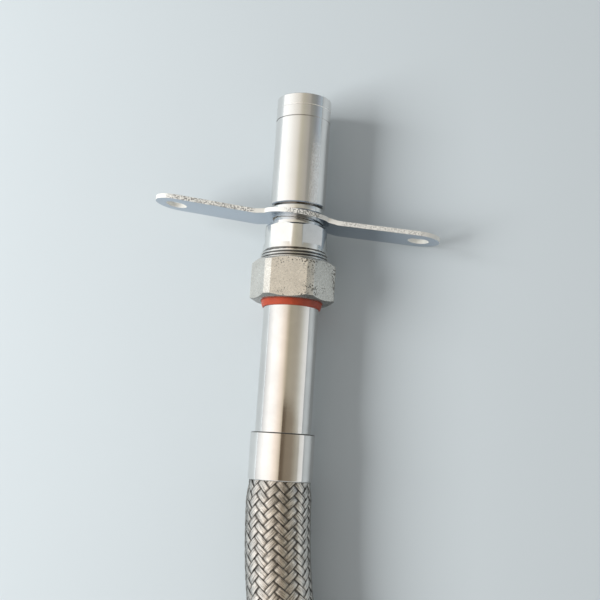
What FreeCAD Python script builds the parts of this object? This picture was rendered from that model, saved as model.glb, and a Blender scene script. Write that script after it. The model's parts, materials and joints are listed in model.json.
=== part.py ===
"""Flexible sprinkler hose: a braided metal hose with a union at each end, a long outlet tube
for the sprinkler head and a loose two-eared mounting bracket behind it.

Millimetres. The hose lies on a flat surface. The outlet end points along +Y with the centre of
its mouth at the origin, +Z is up, and the hose bends to +X, so that its inlet end points along +X.
Every turned piece is drawn about its own +Z, which runs from the end's mouth towards the hose.
"""
import FreeCAD
import Part
import Sketcher
import math
import os

from FreeCAD import Vector

# Driving dimensions, one value each, in millimetres and degrees
SIZES = {
    # Outlet tube, with the sprinkler's pipe thread in its mouth
    "outlet_tube_radius": 14.5,
    "outlet_tube_length": 59.2,
    "outlet_edge_chamfer": 0.5,
    "pipe_thread_radius": 9.315,
    "pipe_thread_depth": 15.0,
    "waterway_radius": 8.5,
    "first_line_from_mouth": 6.1,
    "first_line_width": 0.4,
    "first_line_depth": 0.12,
    "second_line_from_mouth": 12.4,
    "second_line_width": 0.45,
    "second_line_depth": 0.2,
    # Neck that carries the outlet tube, the lock ring and the bracket
    "neck_radius": 12.0,
    "neck_in_tube": 15.0,
    "neck_chamfer": 0.8,
    "thread_clearance": 0.06,
    "end_play": 0.5,
    "tube_to_ring_gap": 0.8,
    "lock_ring_radius": 13.8,
    "lock_ring_length": 3.0,
    "lock_ring_chamfer": 0.4,
    "bracket_space": 5.6,
    # Outlet nipple, whose hexagon has its corners turned down to the collar
    "shoulder_radius": 14.0,
    "shoulder_length": 2.0,
    "outlet_hex_across_flats": 32.0,
    "outlet_hex_length": 10.4,
    "outlet_hex_lean": 19.8,
    "hex_chamfer": 0.9,
    "collar_radius": 17.0,
    "collar_length": 3.1,
    "collar_chamfer": 0.6,
    # Union thread, nut and what the nut clamps, the same at both ends
    "union_thread_radius": 18.0,
    "union_thread_showing": 4.8,
    "union_thread_chamfer": 1.2,
    "nut_across_flats": 40.0,
    "nut_turned_radius": 22.0,
    "nut_length": 20.9,
    "nut_chamfer": 2.6,
    "nut_chamfer_rise": 1.5,
    "nut_lip": 3.0,
    "nut_lip_radius": 16.2,
    "outlet_nut_lean": -1.5,
    "nut_bore_relief": 0.3,
    "ring_flange_radius": 17.7,
    "ring_flange_thickness": 1.5,
    "ring_in_lip_clearance": 0.2,
    "ring_end_radius": 15.1,
    "ring_showing": 3.3,
    "ring_on_tube_clearance": 0.1,
    "end_tube_radius": 14.3,
    "end_tube_bore_radius": 12.7,
    "end_tube_flange_radius": 17.6,
    "end_tube_flange_thickness": 2.5,
    "gasket_radius": 17.5,
    "gasket_bore_radius": 12.9,
    "gasket_thickness": 2.5,
    "outlet_end_tube_showing": 63.9,
    "inlet_end_tube_showing": 21.2,
    # Ferrule that holds the braid's end over the hose's cuff
    "ferrule_radius": 16.4,
    "ferrule_length": 23.8,
    "ferrule_bore_radius": 15.6,
    "ferrule_neck_length": 5.0,
    "ferrule_on_tube_clearance": 0.08,
    "ferrule_rounding": 0.5,
    # Hose and braid
    "hose_radius": 14.8,
    "hose_bore_radius": 12.5,
    "braid_radius": 16.6,
    "braid_inner_radius": 15.0,
    # Inlet nipple, with the branch line's pipe thread
    "inlet_thread_radius": 16.625,
    "inlet_thread_length": 19.0,
    "inlet_thread_chamfer": 1.5,
    "inlet_groove_radius": 15.0,
    "inlet_groove_length": 2.0,
    "inlet_hex_across_flats": 36.0,
    "inlet_hex_turned_radius": 19.2,
    "inlet_hex_length": 12.0,
    "inlet_hex_lean": 0.0,
    # Mounting bracket, a bent strip with a round middle and two round-ended ears
    "bracket_length": 151.5,
    "strip_margin": 5.0,
    "bracket_thickness": 2.5,
    "ear_width": 24.0,
    "ear_hole_radius": 5.5,
    "ear_hole_from_tip": 11.2,
    "ear_bend": 1.4,
    "middle_radius": 20.5,
    "middle_hole_radius": 12.75,
    "middle_flat_half": 15.5,
    "joggle_drop": 1.0,
    "joggle_slope": 9.0,
    "bend_radius": 6.0,
    "bracket_swing": 6.4,
    "bracket_yaw": 5.4,
}

# The free hose's route, from the outlet ferrule's open end to the inlet ferrule's open end.
# Each point is set from the first one, and the whole route lies or hangs just over the surface.
ROUTE = [
    Vector(0.0, 0.0, 0.0),
    Vector(0.0, -40.0, 0.0),
    Vector(11.6, -94.8, -1.4),
    Vector(43.6, -152.5, -3.9),
    Vector(94.1, -199.6, -3.9),
    Vector(154.0, -226.9, -2.3),
    Vector(209.3, -235.7, -0.5),
    Vector(247.3, -235.7, -0.5),
]
ARC_SHARE = 0.45

# Which way the turned pieces of each end point
UP_FROM_DRAWING = "rotation(vector(1; 0; 0); 90)"
OUTLET_TURN = UP_FROM_DRAWING
INLET_TURN = "rotation(vector(0; 0; 1); -90) * " + UP_FROM_DRAWING

HEX_SIDES = 6
HEX_HALF_ANGLE = 180.0 / HEX_SIDES

# Where an outline's corners lie, roughly, before their constraints pull them into place
ROUGH_RADIUS = 5.0
ROUGH_OFFSET = 2.0


def size(name):
    """The cell of a driving dimension, as an expression names it."""
    return "Sizes." + name


def total(*lengths):
    """The sum of several lengths, as one expression."""
    return "(" + " + ".join(lengths) + ")"


def less(length, *taken):
    """A length with others taken off, as one expression."""
    return "(" + " - ".join((length,) + taken) + ")"


def make_sheet(doc):
    """The spreadsheet of driving dimensions, one named cell each."""
    sheet = doc.addObject("Spreadsheet::Sheet", "Sizes")
    for row, (name, value) in enumerate(SIZES.items(), start=1):
        sheet.set("A%d" % row, name)
        sheet.set("B%d" % row, str(value))
        sheet.setAlias("B%d" % row, name)
    doc.recompute()
    return sheet


def new_body(doc, label):
    """An empty body for one sub-part."""
    body = doc.addObject("PartDesign::Body", label)
    body.Label = label
    return body


def new_sketch(body, name, plane):
    """A sketch on one of the body's own origin planes."""
    sketch = body.newObject("Sketcher::SketchObject", name)
    support = [item for item in body.Origin.OriginFeatures if item.Role == plane][0]
    sketch.AttachmentSupport = (support, [""])
    sketch.MapMode = "FlatFace"
    return sketch


def hold_point(sketch, line, end, across, along):
    """Holds one end of a line at two measured distances from the sketch's origin."""
    for kind, expression in (("DistanceX", across), ("DistanceY", along)):
        index = sketch.addConstraint(Sketcher.Constraint(kind, -1, 1, line, end, 1.0))
        sketch.setExpression("Constraints[%d]" % index, expression)


def add_outline(sketch, corners):
    """A closed outline of straight lines whose corners are pairs of expressions."""
    count = len(corners)
    turns = [2.0 * math.pi * i / count for i in range(count)]
    start = [Vector(ROUGH_OFFSET + math.cos(turn), math.sin(turn), 0) * ROUGH_RADIUS for turn in turns]
    first = sketch.GeometryCount
    for i in range(count):
        sketch.addGeometry(Part.LineSegment(start[i], start[(i + 1) % count]))
    for i in range(count):
        sketch.addConstraint(Sketcher.Constraint("Coincident", first + i, 2, first + (i + 1) % count, 1))
    for i, (across, along) in enumerate(corners):
        hold_point(sketch, first + i, 1, across, along)


def add_circle(sketch, radius):
    """A circle of a given radius about the sketch's origin."""
    circle = sketch.addGeometry(Part.Circle(Vector(0, 0, 0), Vector(0, 0, 1), ROUGH_RADIUS))
    sketch.addConstraint(Sketcher.Constraint("Coincident", circle, 3, -1, 1))
    index = sketch.addConstraint(Sketcher.Constraint("Radius", circle, ROUGH_RADIUS))
    sketch.setExpression("Constraints[%d]" % index, radius)


def turn_profile(body, corners):
    """Turns a closed profile of (radius, distance along the axis) pairs about the body's +Z."""
    sketch = new_sketch(body, body.Label + "_profile", "XZ_Plane")
    add_outline(sketch, corners)
    turned = body.newObject("PartDesign::Revolution", body.Label + "_turned")
    turned.Profile = sketch
    turned.ReferenceAxis = (sketch, ["V_Axis"])
    turned.Angle = 360.0
    sketch.Visibility = False
    return turned


def cut_flats(body, across_flats, turned_radius, start, length, lean):
    """Mills six flats on a turned blank, between two distances along its axis."""
    sketch = new_sketch(body, body.Label + "_flats_outline", "XY_Plane")
    sketch.setExpression("AttachmentOffset.Base.z", total(start, length))
    reach = "%s / (2 * cos(%g))" % (across_flats, HEX_HALF_ANGLE)
    corners = []
    for side in range(HEX_SIDES):
        angle = "(%s + %g)" % (lean, 90.0 + HEX_HALF_ANGLE + side * 2.0 * HEX_HALF_ANGLE)
        corners.append(("%s * cos(%s)" % (reach, angle), "%s * sin(%s)" % (reach, angle)))
    add_outline(sketch, corners)
    add_circle(sketch, total(turned_radius, turned_radius))
    flats = body.newObject("PartDesign::Pocket", body.Label + "_flats")
    flats.Profile = sketch
    flats.setExpression("Length", length)
    sketch.Visibility = False
    return flats


def place_on_outlet(body, station):
    """Sets a piece on the outlet end's axis, at a distance from the outlet's mouth."""
    body.setExpression("Placement", "placement(vector(0; -%s; 0); %s)" % (station, OUTLET_TURN))


def place_on_inlet(body, station, mouth):
    """Sets a piece on the inlet end's axis, at a distance from the inlet's mouth."""
    spot = "vector(%s; %s; %s)" % (less(mouth[0], station), mouth[1], mouth[2])
    body.setExpression("Placement", "placement(%s; %s)" % (spot, INLET_TURN))


def stations_of_union(thread_start):
    """Where a union's pieces start, from where its outside thread starts."""
    nut = total(thread_start, size("union_thread_showing"))
    nut_end = total(nut, size("nut_length"))
    ring = less(nut_end, size("nut_lip"), size("ring_flange_thickness"))
    flange = less(ring, size("end_tube_flange_thickness"))
    gasket = less(flange, size("gasket_thickness"))
    ring_end = total(nut_end, size("ring_showing"))
    return {"thread": thread_start, "nut": nut, "ring": ring, "flange": flange, "gasket": gasket,
            "ring_end": ring_end}


def make_outlet_tube(doc):
    """Polished sleeve with two fine scribed lines, a pipe thread's bore and a socket for the neck."""
    body = new_body(doc, "outlet_tube")
    outer = size("outlet_tube_radius")
    length = size("outlet_tube_length")
    chamfer = size("outlet_edge_chamfer")
    socket = total(size("neck_radius"), size("thread_clearance"))
    socket_start = less(length, size("neck_in_tube"), size("end_play"))
    corners = [(size("pipe_thread_radius"), "0"), (less(outer, chamfer), "0"), (outer, chamfer)]
    for line in ("first_line", "second_line"):
        near = size(line + "_from_mouth")
        far = total(near, size(line + "_width"))
        floor = less(outer, size(line + "_depth"))
        corners += [(outer, near), (floor, near), (floor, far), (outer, far)]
    corners += [(outer, less(length, chamfer)), (less(outer, chamfer), length), (socket, length),
                (socket, socket_start), (size("waterway_radius"), socket_start),
                (size("waterway_radius"), size("pipe_thread_depth")),
                (size("pipe_thread_radius"), size("pipe_thread_depth"))]
    turn_profile(body, corners)
    place_on_outlet(body, "0")
    return body


def make_lock_ring(doc, station):
    """Thin round ring, screwed on the neck between the outlet tube and the bracket."""
    body = new_body(doc, "lock_ring")
    bore = total(size("neck_radius"), size("thread_clearance"))
    outer = size("lock_ring_radius")
    length = size("lock_ring_length")
    chamfer = size("lock_ring_chamfer")
    turn_profile(body, [(bore, "0"), (less(outer, chamfer), "0"), (outer, chamfer),
                        (outer, less(length, chamfer)), (less(outer, chamfer), length),
                        (bore, length)])
    place_on_outlet(body, station)
    return body


def make_outlet_nipple(doc, station, shoulder, union):
    """One turned piece: neck, shoulder, hexagon with turned-down corners, collar and union thread."""
    body = new_body(doc, "outlet_nipple")
    neck = size("neck_radius")
    neck_chamfer = size("neck_chamfer")
    turned = size("collar_radius")
    collar_chamfer = size("collar_chamfer")
    shoulder_start = less(shoulder, station)
    hex_start = total(shoulder_start, size("shoulder_length"))
    thread_start = less(union["thread"], station)
    end = less(union["gasket"], station)
    turn_profile(body, [
        (size("waterway_radius"), "0"),
        (less(neck, neck_chamfer), "0"),
        (neck, neck_chamfer),
        (neck, shoulder_start),
        (size("shoulder_radius"), shoulder_start),
        (size("shoulder_radius"), hex_start),
        (less(turned, size("hex_chamfer")), hex_start),
        (turned, total(hex_start, size("hex_chamfer"))),
        (turned, less(thread_start, collar_chamfer)),
        (less(turned, collar_chamfer), thread_start),
        *union_thread_corners(thread_start, end),
        (size("waterway_radius"), end),
    ])
    cut_flats(body, size("outlet_hex_across_flats"), turned, hex_start,
              size("outlet_hex_length"), size("outlet_hex_lean"))
    place_on_outlet(body, station)
    return body


def union_thread_corners(start, end):
    """Outside of the union's thread, chamfered at its free end."""
    outer = size("union_thread_radius")
    chamfer = size("union_thread_chamfer")
    lead = total(start, "(%s) / 2" % chamfer)
    return [(outer, lead), (outer, less(end, chamfer)), (less(outer, chamfer), end)]


def make_union_nut(doc, label, lean):
    """Hexagon nut with turned-down corners and an inner lip that clamps the end tube's flange."""
    body = new_body(doc, label)
    bore = total(size("union_thread_radius"), size("thread_clearance"))
    outer = size("nut_turned_radius")
    face = less(outer, size("nut_chamfer"))
    rise = size("nut_chamfer_rise")
    length = size("nut_length")
    lip_start = less(length, size("nut_lip"))
    turn_profile(body, [(total(bore, size("nut_bore_relief")), "0"), (face, "0"), (outer, rise),
                        (outer, less(length, rise)), (face, length),
                        (size("nut_lip_radius"), length), (size("nut_lip_radius"), lip_start),
                        (bore, lip_start), (bore, size("nut_bore_relief"))])
    cut_flats(body, size("nut_across_flats"), outer, "0", length, lean)
    return body


def make_isolation_ring(doc, label):
    """Plastic ring that keeps the nut off the end tube: a flange, a sleeve and a tapered edge."""
    body = new_body(doc, label)
    bore = total(size("end_tube_radius"), size("ring_on_tube_clearance"))
    sleeve = less(size("nut_lip_radius"), size("ring_in_lip_clearance"))
    flange = size("ring_flange_thickness")
    lip_end = total(flange, size("nut_lip"))
    end = total(lip_end, size("ring_showing"))
    turn_profile(body, [(bore, "0"), (size("ring_flange_radius"), "0"),
                        (size("ring_flange_radius"), flange), (sleeve, flange), (sleeve, lip_end),
                        (size("ring_end_radius"), end), (bore, end)])
    return body


def make_end_tube(doc, label, union, ferrule_start):
    """Thin tube with a flange inside the nut, welded to the hose inside the ferrule."""
    body = new_body(doc, label)
    outer = size("end_tube_radius")
    bore = size("end_tube_bore_radius")
    flange = size("end_tube_flange_thickness")
    end = less(total(ferrule_start, size("ferrule_neck_length")), union["flange"])
    turn_profile(body, [(bore, "0"), (size("end_tube_flange_radius"), "0"),
                        (size("end_tube_flange_radius"), flange), (outer, flange), (outer, end),
                        (bore, end)])
    return body


def make_gasket(doc, label):
    """Flat sealing ring between the nipple's end and the end tube's flange."""
    body = new_body(doc, label)
    bore = size("gasket_bore_radius")
    outer = size("gasket_radius")
    length = size("gasket_thickness")
    turn_profile(body, [(bore, "0"), (outer, "0"), (outer, length), (bore, length)])
    return body


def make_ferrule(doc, label):
    """Band over the braid's end, drawn in to the end tube at its neck."""
    body = new_body(doc, label)
    outer = size("ferrule_radius")
    rounding = size("ferrule_rounding")
    length = size("ferrule_length")
    neck_bore = total(size("end_tube_radius"), size("ferrule_on_tube_clearance"))
    turn_profile(body, [(neck_bore, "0"), (less(outer, rounding), "0"), (outer, rounding),
                        (outer, less(length, rounding)), (less(outer, rounding), length),
                        (size("ferrule_bore_radius"), length),
                        (size("ferrule_bore_radius"), size("ferrule_neck_length")),
                        (neck_bore, size("ferrule_neck_length"))])
    return body


def make_inlet_nipple(doc, union):
    """Branch line's pipe thread, a groove, a hexagon, a collar and the union's thread, in one."""
    body = new_body(doc, "inlet_nipple")
    outer = size("inlet_thread_radius")
    chamfer = size("inlet_thread_chamfer")
    turned = size("inlet_hex_turned_radius")
    collar = size("collar_radius")
    bore = size("hose_bore_radius")
    groove_start = size("inlet_thread_length")
    hex_start = total(groove_start, size("inlet_groove_length"))
    hex_end = total(hex_start, size("inlet_hex_length"))
    end = union["gasket"]
    turn_profile(body, [
        (bore, "0"),
        (less(outer, chamfer), "0"),
        (outer, chamfer),
        (outer, groove_start),
        (size("inlet_groove_radius"), groove_start),
        (size("inlet_groove_radius"), hex_start),
        (less(turned, size("hex_chamfer")), hex_start),
        (turned, total(hex_start, size("hex_chamfer"))),
        (turned, less(hex_end, size("hex_chamfer"))),
        (less(turned, size("hex_chamfer")), hex_end),
        (collar, hex_end),
        (collar, less(union["thread"], size("collar_chamfer"))),
        (less(collar, size("collar_chamfer")), union["thread"]),
        *union_thread_corners(union["thread"], end),
        (bore, end),
    ])
    cut_flats(body, size("inlet_hex_across_flats"), turned, hex_start, size("inlet_hex_length"),
              size("inlet_hex_lean"))
    return body


def bracket_band_corners():
    """Edge of the bent strip, seen from above: its +Y side from left to right, then back."""
    half = "(%s / 2)" % size("bracket_thickness")
    tip = "(%s / 2)" % size("bracket_length")
    bend = size("ear_bend")
    slope = size("joggle_slope")
    drop = size("joggle_drop")
    middle = size("middle_flat_half")
    knee = "(%s + %s / tan(%s))" % (middle, drop, slope)
    tip_rise = "(%s - %s) * tan(%s)" % (tip, knee, bend)
    spread = "cos((%s + %s) / 2)" % (slope, bend)
    lean = "((%s - %s) / 2)" % (slope, bend)
    upper = [
        ("%s + %s * tan(%s / 2)" % (middle, half, slope), half),
        ("%s + %s * sin(%s) / %s" % (knee, half, lean, spread),
         "%s * cos(%s) / %s - %s" % (half, lean, spread, drop)),
        ("%s - %s * sin(%s)" % (tip, half, bend),
         "%s - %s + %s * cos(%s)" % (tip_rise, drop, half, bend)),
    ]
    lower = [
        ("%s - %s * tan(%s / 2)" % (middle, half, slope), "0 - " + half),
        ("%s - %s * sin(%s) / %s" % (knee, half, lean, spread),
         "0 - %s * cos(%s) / %s - %s" % (half, lean, spread, drop)),
        ("%s + %s * sin(%s)" % (tip, half, bend),
         "%s - %s - %s * cos(%s)" % (tip_rise, drop, half, bend)),
    ]
    left_upper = [("0 - (%s)" % across, along) for across, along in upper]
    left_lower = [("0 - (%s)" % across, along) for across, along in lower]
    return left_upper[::-1] + upper + lower[::-1] + left_lower


def edges_across(shape, places):
    """Names of a shape's edges that run along Z through any of the (x, y) places."""
    near = 0.05
    names = []
    for index, edge in enumerate(shape.Edges, start=1):
        first, last = edge.Vertexes[0].Point, edge.Vertexes[-1].Point
        if abs(first.x - last.x) > near or abs(first.y - last.y) > near:
            continue
        if any(abs(first.x - x) < near and abs(first.y - y) < near for x, y in places):
            names.append("Edge%d" % index)
    return names


def round_edges(body, base, name, places, radius):
    """Rounds the edges that run along Z through some places of the body's last feature."""
    fillet = body.newObject("PartDesign::Fillet", name)
    fillet.Base = (base, edges_across(base.Shape, places))
    fillet.setExpression("Radius", radius)
    body.Document.recompute()
    return fillet


def add_bracket_outline(sketch):
    """Outline of the flat blank: a round middle between two round-ended ears."""
    half_width = SIZES["ear_width"] / 2.0
    middle = SIZES["middle_radius"]
    centre = SIZES["bracket_length"] / 2.0 - half_width
    meet = math.acos(half_width / middle)
    quarter = math.pi / 2.0
    neck = middle * math.sin(meet)
    arcs = (
        (Vector(centre, 0, 0), half_width, -quarter, quarter),
        (Vector(0, 0, 0), middle, quarter - meet, quarter + meet),
        (Vector(-centre, 0, 0), half_width, quarter, 3 * quarter),
        (Vector(0, 0, 0), middle, 3 * quarter - meet, 3 * quarter + meet),
    )
    right, top, left, bottom = [
        sketch.addGeometry(Part.ArcOfCircle(Part.Circle(spot, Vector(0, 0, 1), radius), start, stop))
        for spot, radius, start, stop in arcs
    ]
    lines = (
        (Vector(centre, half_width, 0), Vector(neck, half_width, 0), right, 2, top, 1),
        (Vector(-neck, half_width, 0), Vector(-centre, half_width, 0), top, 2, left, 1),
        (Vector(-centre, -half_width, 0), Vector(-neck, -half_width, 0), left, 2, bottom, 1),
        (Vector(neck, -half_width, 0), Vector(centre, -half_width, 0), bottom, 2, right, 1),
    )
    for start, stop, before, before_end, after, after_end in lines:
        line = sketch.addGeometry(Part.LineSegment(start, stop))
        sketch.addConstraint(Sketcher.Constraint("Horizontal", line))
        for arc, arc_end, line_end in ((before, before_end, 1), (after, after_end, 2)):
            kind = "Tangent" if arc in (left, right) else "Coincident"
            sketch.addConstraint(Sketcher.Constraint(kind, arc, arc_end, line, line_end))
    for arc in (top, bottom):
        sketch.addConstraint(Sketcher.Constraint("Coincident", arc, 3, -1, 1))
    sketch.addConstraint(Sketcher.Constraint("Equal", top, bottom))
    sketch.addConstraint(Sketcher.Constraint("Equal", left, right))
    sketch.addConstraint(Sketcher.Constraint("PointOnObject", right, 3, -1))
    sketch.addConstraint(Sketcher.Constraint("PointOnObject", left, 3, -1))
    reach = "%s / 2 - %s / 2" % (size("bracket_length"), size("ear_width"))
    bound = (
        (Sketcher.Constraint("Radius", top, middle), size("middle_radius")),
        (Sketcher.Constraint("Radius", right, half_width), size("ear_width") + " / 2"),
        (Sketcher.Constraint("DistanceX", -1, 1, right, 3, centre), reach),
        (Sketcher.Constraint("DistanceX", left, 3, -1, 1, centre), reach),
    )
    for constraint, expression in bound:
        index = sketch.addConstraint(constraint)
        sketch.setExpression("Constraints[%d]" % index, expression)


def make_bracket(doc, station):
    """Strip with two round-ended ears and a round middle that is set forward of the ears."""
    body = new_body(doc, "mounting_bracket")
    edge = new_sketch(body, "bracket_edge", "XY_Plane")
    add_outline(edge, bracket_band_corners())
    band = body.newObject("PartDesign::Pad", "bracket_band")
    band.Profile = edge
    band.SideType = "Symmetric"
    band.setExpression("Length", "2 * (%s + %s)" % (size("middle_radius"), size("strip_margin")))
    doc.recompute()

    # The corners come as upper left, upper right, lower right and lower left, three each
    corners = [(line.StartPoint.x, line.StartPoint.y) for line in edge.Geometry]
    inner_bends = [corners[i] for i in (1, 4, 8, 9)]
    outer_bends = [corners[i] for i in (2, 3, 7, 10)]
    inside = round_edges(body, band, "bracket_inner_bends", inner_bends, size("bend_radius"))
    outside = round_edges(body, inside, "bracket_outer_bends", outer_bends,
                          total(size("bend_radius"), size("bracket_thickness")))

    blank = new_sketch(body, "bracket_blank", "XZ_Plane")
    add_bracket_outline(blank)
    add_circle(blank, size("bracket_length"))
    trim = body.newObject("PartDesign::Pocket", "bracket_trim")
    trim.Profile = blank
    trim.Type = "ThroughAll"
    trim.SideType = "Symmetric"

    centre = new_sketch(body, "bracket_middle_hole", "XZ_Plane")
    add_circle(centre, size("middle_hole_radius"))
    hole = body.newObject("PartDesign::Pocket", "bracket_neck_hole")
    hole.Profile = centre
    hole.Type = "ThroughAll"
    hole.SideType = "Symmetric"

    # Each ear's hole is square to its ear, so it leans with the ear's bend. The punch is twice as
    # long as the sheet is thick, and passes both faces.
    half_spacing = "(%s / 2 - %s)" % (size("bracket_length"), size("ear_hole_from_tip"))
    knee = "(%s + %s / tan(%s))" % (size("middle_flat_half"), size("joggle_drop"), size("joggle_slope"))
    rise = "((%s - %s) * tan(%s) - %s)" % (half_spacing, knee, size("ear_bend"), size("joggle_drop"))
    depth = "(2 * %s)" % size("bracket_thickness")
    punch = body.newObject("PartDesign::SubtractiveCylinder", "bracket_ear_hole")
    punch.setExpression("Radius", size("ear_hole_radius"))
    punch.setExpression("Height", depth)
    back = "%s / 2" % depth
    spot = "vector(%s + %s * sin(%s); %s - %s * cos(%s); 0)" % (
        half_spacing, back, size("ear_bend"), rise, back, size("ear_bend"))
    punch.setExpression("Placement", "placement(%s; rotation(vector(0; 0; 1); %s) * %s)" % (
        spot, size("ear_bend"), "rotation(vector(1; 0; 0); -90)"))
    pair = body.newObject("PartDesign::Mirrored", "bracket_ear_holes")
    pair.Originals = [punch]
    side = [item for item in body.Origin.OriginFeatures if item.Role == "YZ_Plane"][0]
    pair.MirrorPlane = (side, [""])
    body.Tip = pair
    body.setExpression("Placement", "placement(vector(0; -%s; 0); rotation(vector(0; 1; 0); %s) * "
                       "rotation(vector(0; 0; 1); -%s))" % (
                           station, size("bracket_swing"), size("bracket_yaw")))
    return body


def route_arcs(points):
    """Corner, its two tangent points and its radius, for each point where the route turns."""
    arcs = []
    for before, corner, after in zip(points, points[1:], points[2:]):
        back = before - corner
        ahead = after - corner
        reach = ARC_SHARE * min(back.Length, ahead.Length)
        half_turn = (math.pi - back.getAngle(ahead)) / 2.0
        enter = corner + back.normalize() * reach
        leave = corner + ahead.normalize() * reach
        radius = reach / math.tan(half_turn)
        centre_way = (back + ahead).normalize()
        middle = corner + centre_way * (radius / math.cos(half_turn) - radius)
        arcs.append((enter, middle, leave, radius))
    return arcs


def route_wire(start, ends_in):
    """Straight runs joined by tangent arcs along the route, with both ends run on by a length."""
    points = [start + point for point in ROUTE]
    first_way = (points[0] - points[1]).normalize()
    last_way = (points[-1] - points[-2]).normalize()
    edges = []
    here = points[0] + first_way * ends_in
    for enter, middle, leave, _ in route_arcs(points):
        edges.append(Part.LineSegment(here, enter).toShape())
        edges.append(Part.Arc(enter, middle, leave).toShape())
        here = leave
    edges.append(Part.LineSegment(here, points[-1] + last_way * ends_in).toShape())
    return Part.Wire(edges)


def make_route_tube(doc, label, outer, bore, start, ends_in):
    """Plain round tube along the free hose's route."""
    route = doc.addObject("Part::Feature", label + "_route")
    route.Shape = route_wire(start, ends_in)
    edges = ["Edge%d" % (index + 1) for index in range(len(route.Shape.Edges))]
    swept = []
    for side, radius in (("outside", outer), ("bore", bore)):
        section = doc.addObject("Part::Circle", label + "_" + side + "_section")
        section.setExpression("Radius", radius)
        section.Placement = FreeCAD.Placement(route.Shape.Edges[0].Vertexes[0].Point,
                                              FreeCAD.Rotation(Vector(0, 0, 1), ROUTE[1] - ROUTE[0]))
        sweep = doc.addObject("Part::Sweep", label + "_" + side)
        sweep.Sections = [section]
        sweep.Spine = (route, edges)
        sweep.Solid = True
        sweep.Frenet = False
        swept.append(sweep)
    tube = doc.addObject("Part::Cut", label)
    tube.Label = label
    tube.Base, tube.Tool = swept
    return tube, route


def value(doc, expression):
    """What an expression of the sheet's cells comes to, in millimetres."""
    probe = doc.addObject("Part::Box", "probe")
    probe.setExpression("Length", expression)
    doc.recompute()
    length = probe.Length.Value
    doc.removeObject(probe.Name)
    return length


def make_union(doc, end, union, ferrule_start, place, nut_lean):
    """The nut, ring, gasket, end tube and ferrule of one end, set on that end's axis."""
    pieces = [
        (make_union_nut(doc, end + "_union_nut", nut_lean), union["nut"]),
        (make_isolation_ring(doc, end + "_isolation_ring"), union["ring"]),
        (make_gasket(doc, end + "_gasket"), union["gasket"]),
        (make_end_tube(doc, end + "_end_tube", union, ferrule_start), union["flange"]),
        (make_ferrule(doc, end + "_ferrule"), ferrule_start),
    ]
    for body, station in pieces:
        place(body, station)
    return [body for body, _ in pieces]


def make_hose_assembly(doc):
    """Every sub-part, in order from the outlet's mouth to the inlet's."""
    make_sheet(doc)
    tube_end = size("outlet_tube_length")
    ring = total(tube_end, size("tube_to_ring_gap"))
    bracket_space = total(ring, size("lock_ring_length"))
    bracket = total(bracket_space, "(%s / 2)" % size("bracket_space"))
    shoulder = total(bracket_space, size("bracket_space"))
    neck = less(tube_end, size("neck_in_tube"))
    outlet_thread = total(shoulder, size("shoulder_length"), size("outlet_hex_length"),
                          size("collar_length"))
    outlet_union = stations_of_union(outlet_thread)
    outlet_ferrule = total(outlet_union["ring_end"], size("outlet_end_tube_showing"))
    outlet_end = total(outlet_ferrule, size("ferrule_length"))

    inlet_thread = total(size("inlet_thread_length"), size("inlet_groove_length"),
                         size("inlet_hex_length"), size("collar_length"))
    inlet_union = stations_of_union(inlet_thread)
    inlet_ferrule = total(inlet_union["ring_end"], size("inlet_end_tube_showing"))
    inlet_end = total(inlet_ferrule, size("ferrule_length"))
    last = ROUTE[-1]
    mouth = ("(%g + %s)" % (last.x, inlet_end), "(%g - %s)" % (last.y, outlet_end), "%g" % last.z)

    def on_inlet(body, station):
        place_on_inlet(body, station, mouth)

    pieces = [
        make_outlet_tube(doc),
        make_lock_ring(doc, ring),
        make_bracket(doc, bracket),
        make_outlet_nipple(doc, neck, shoulder, outlet_union),
    ]
    pieces += make_union(doc, "outlet", outlet_union, outlet_ferrule, place_on_outlet,
                         size("outlet_nut_lean"))

    start = Vector(0, -value(doc, outlet_end), 0)
    ends_in = value(doc, less(size("ferrule_length"), size("ferrule_neck_length")))
    hose, hose_route = make_route_tube(doc, "corrugated_hose", size("hose_radius"),
                                       size("hose_bore_radius"), start, ends_in)
    braid, braid_route = make_route_tube(doc, "wire_braid", size("braid_radius"),
                                         size("braid_inner_radius"), start, 0.0)
    pieces += [hose, braid]

    pieces += make_union(doc, "inlet", inlet_union, inlet_ferrule, on_inlet, "0")
    inlet_nipple = make_inlet_nipple(doc, inlet_union)
    on_inlet(inlet_nipple, "0")
    pieces.append(inlet_nipple)
    doc.recompute()
    return pieces, ((hose, hose_route), (braid, braid_route))


def check_document(doc, pieces):
    """Stops if any object failed, or if a sub-part is empty or not one valid solid."""
    for item in doc.Objects:
        if "Invalid" in item.State or "Error" in item.State:
            raise RuntimeError("%s is %s" % (item.Label, item.State))
    for piece in pieces:
        if piece.Shape.isNull() or not piece.Shape.isValid():
            raise RuntimeError("%s has no valid shape" % piece.Label)
        if len(piece.Shape.Solids) != 1:
            raise RuntimeError("%s has %d solids" % (piece.Label, len(piece.Shape.Solids)))


def report_tubes(tubes):
    """Prints the route's radii, and compares each tube's volume with section times length."""
    diameter = 2.0 * SIZES["braid_radius"]
    for _, _, _, radius in route_arcs(ROUTE):
        print("route radius %.1f mm, %.1f diameters" % (radius, radius / diameter))
    for (tube, route), outer, bore in zip(tubes, ("hose_radius", "braid_radius"),
                                          ("hose_bore_radius", "braid_inner_radius")):
        section = math.pi * (SIZES[outer] ** 2 - SIZES[bore] ** 2)
        length = route.Shape.Length
        share = tube.Shape.Volume / (section * length)
        print("%s: %.1f mm long, volume %.4f of section times length" % (tube.Label, length, share))


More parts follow.
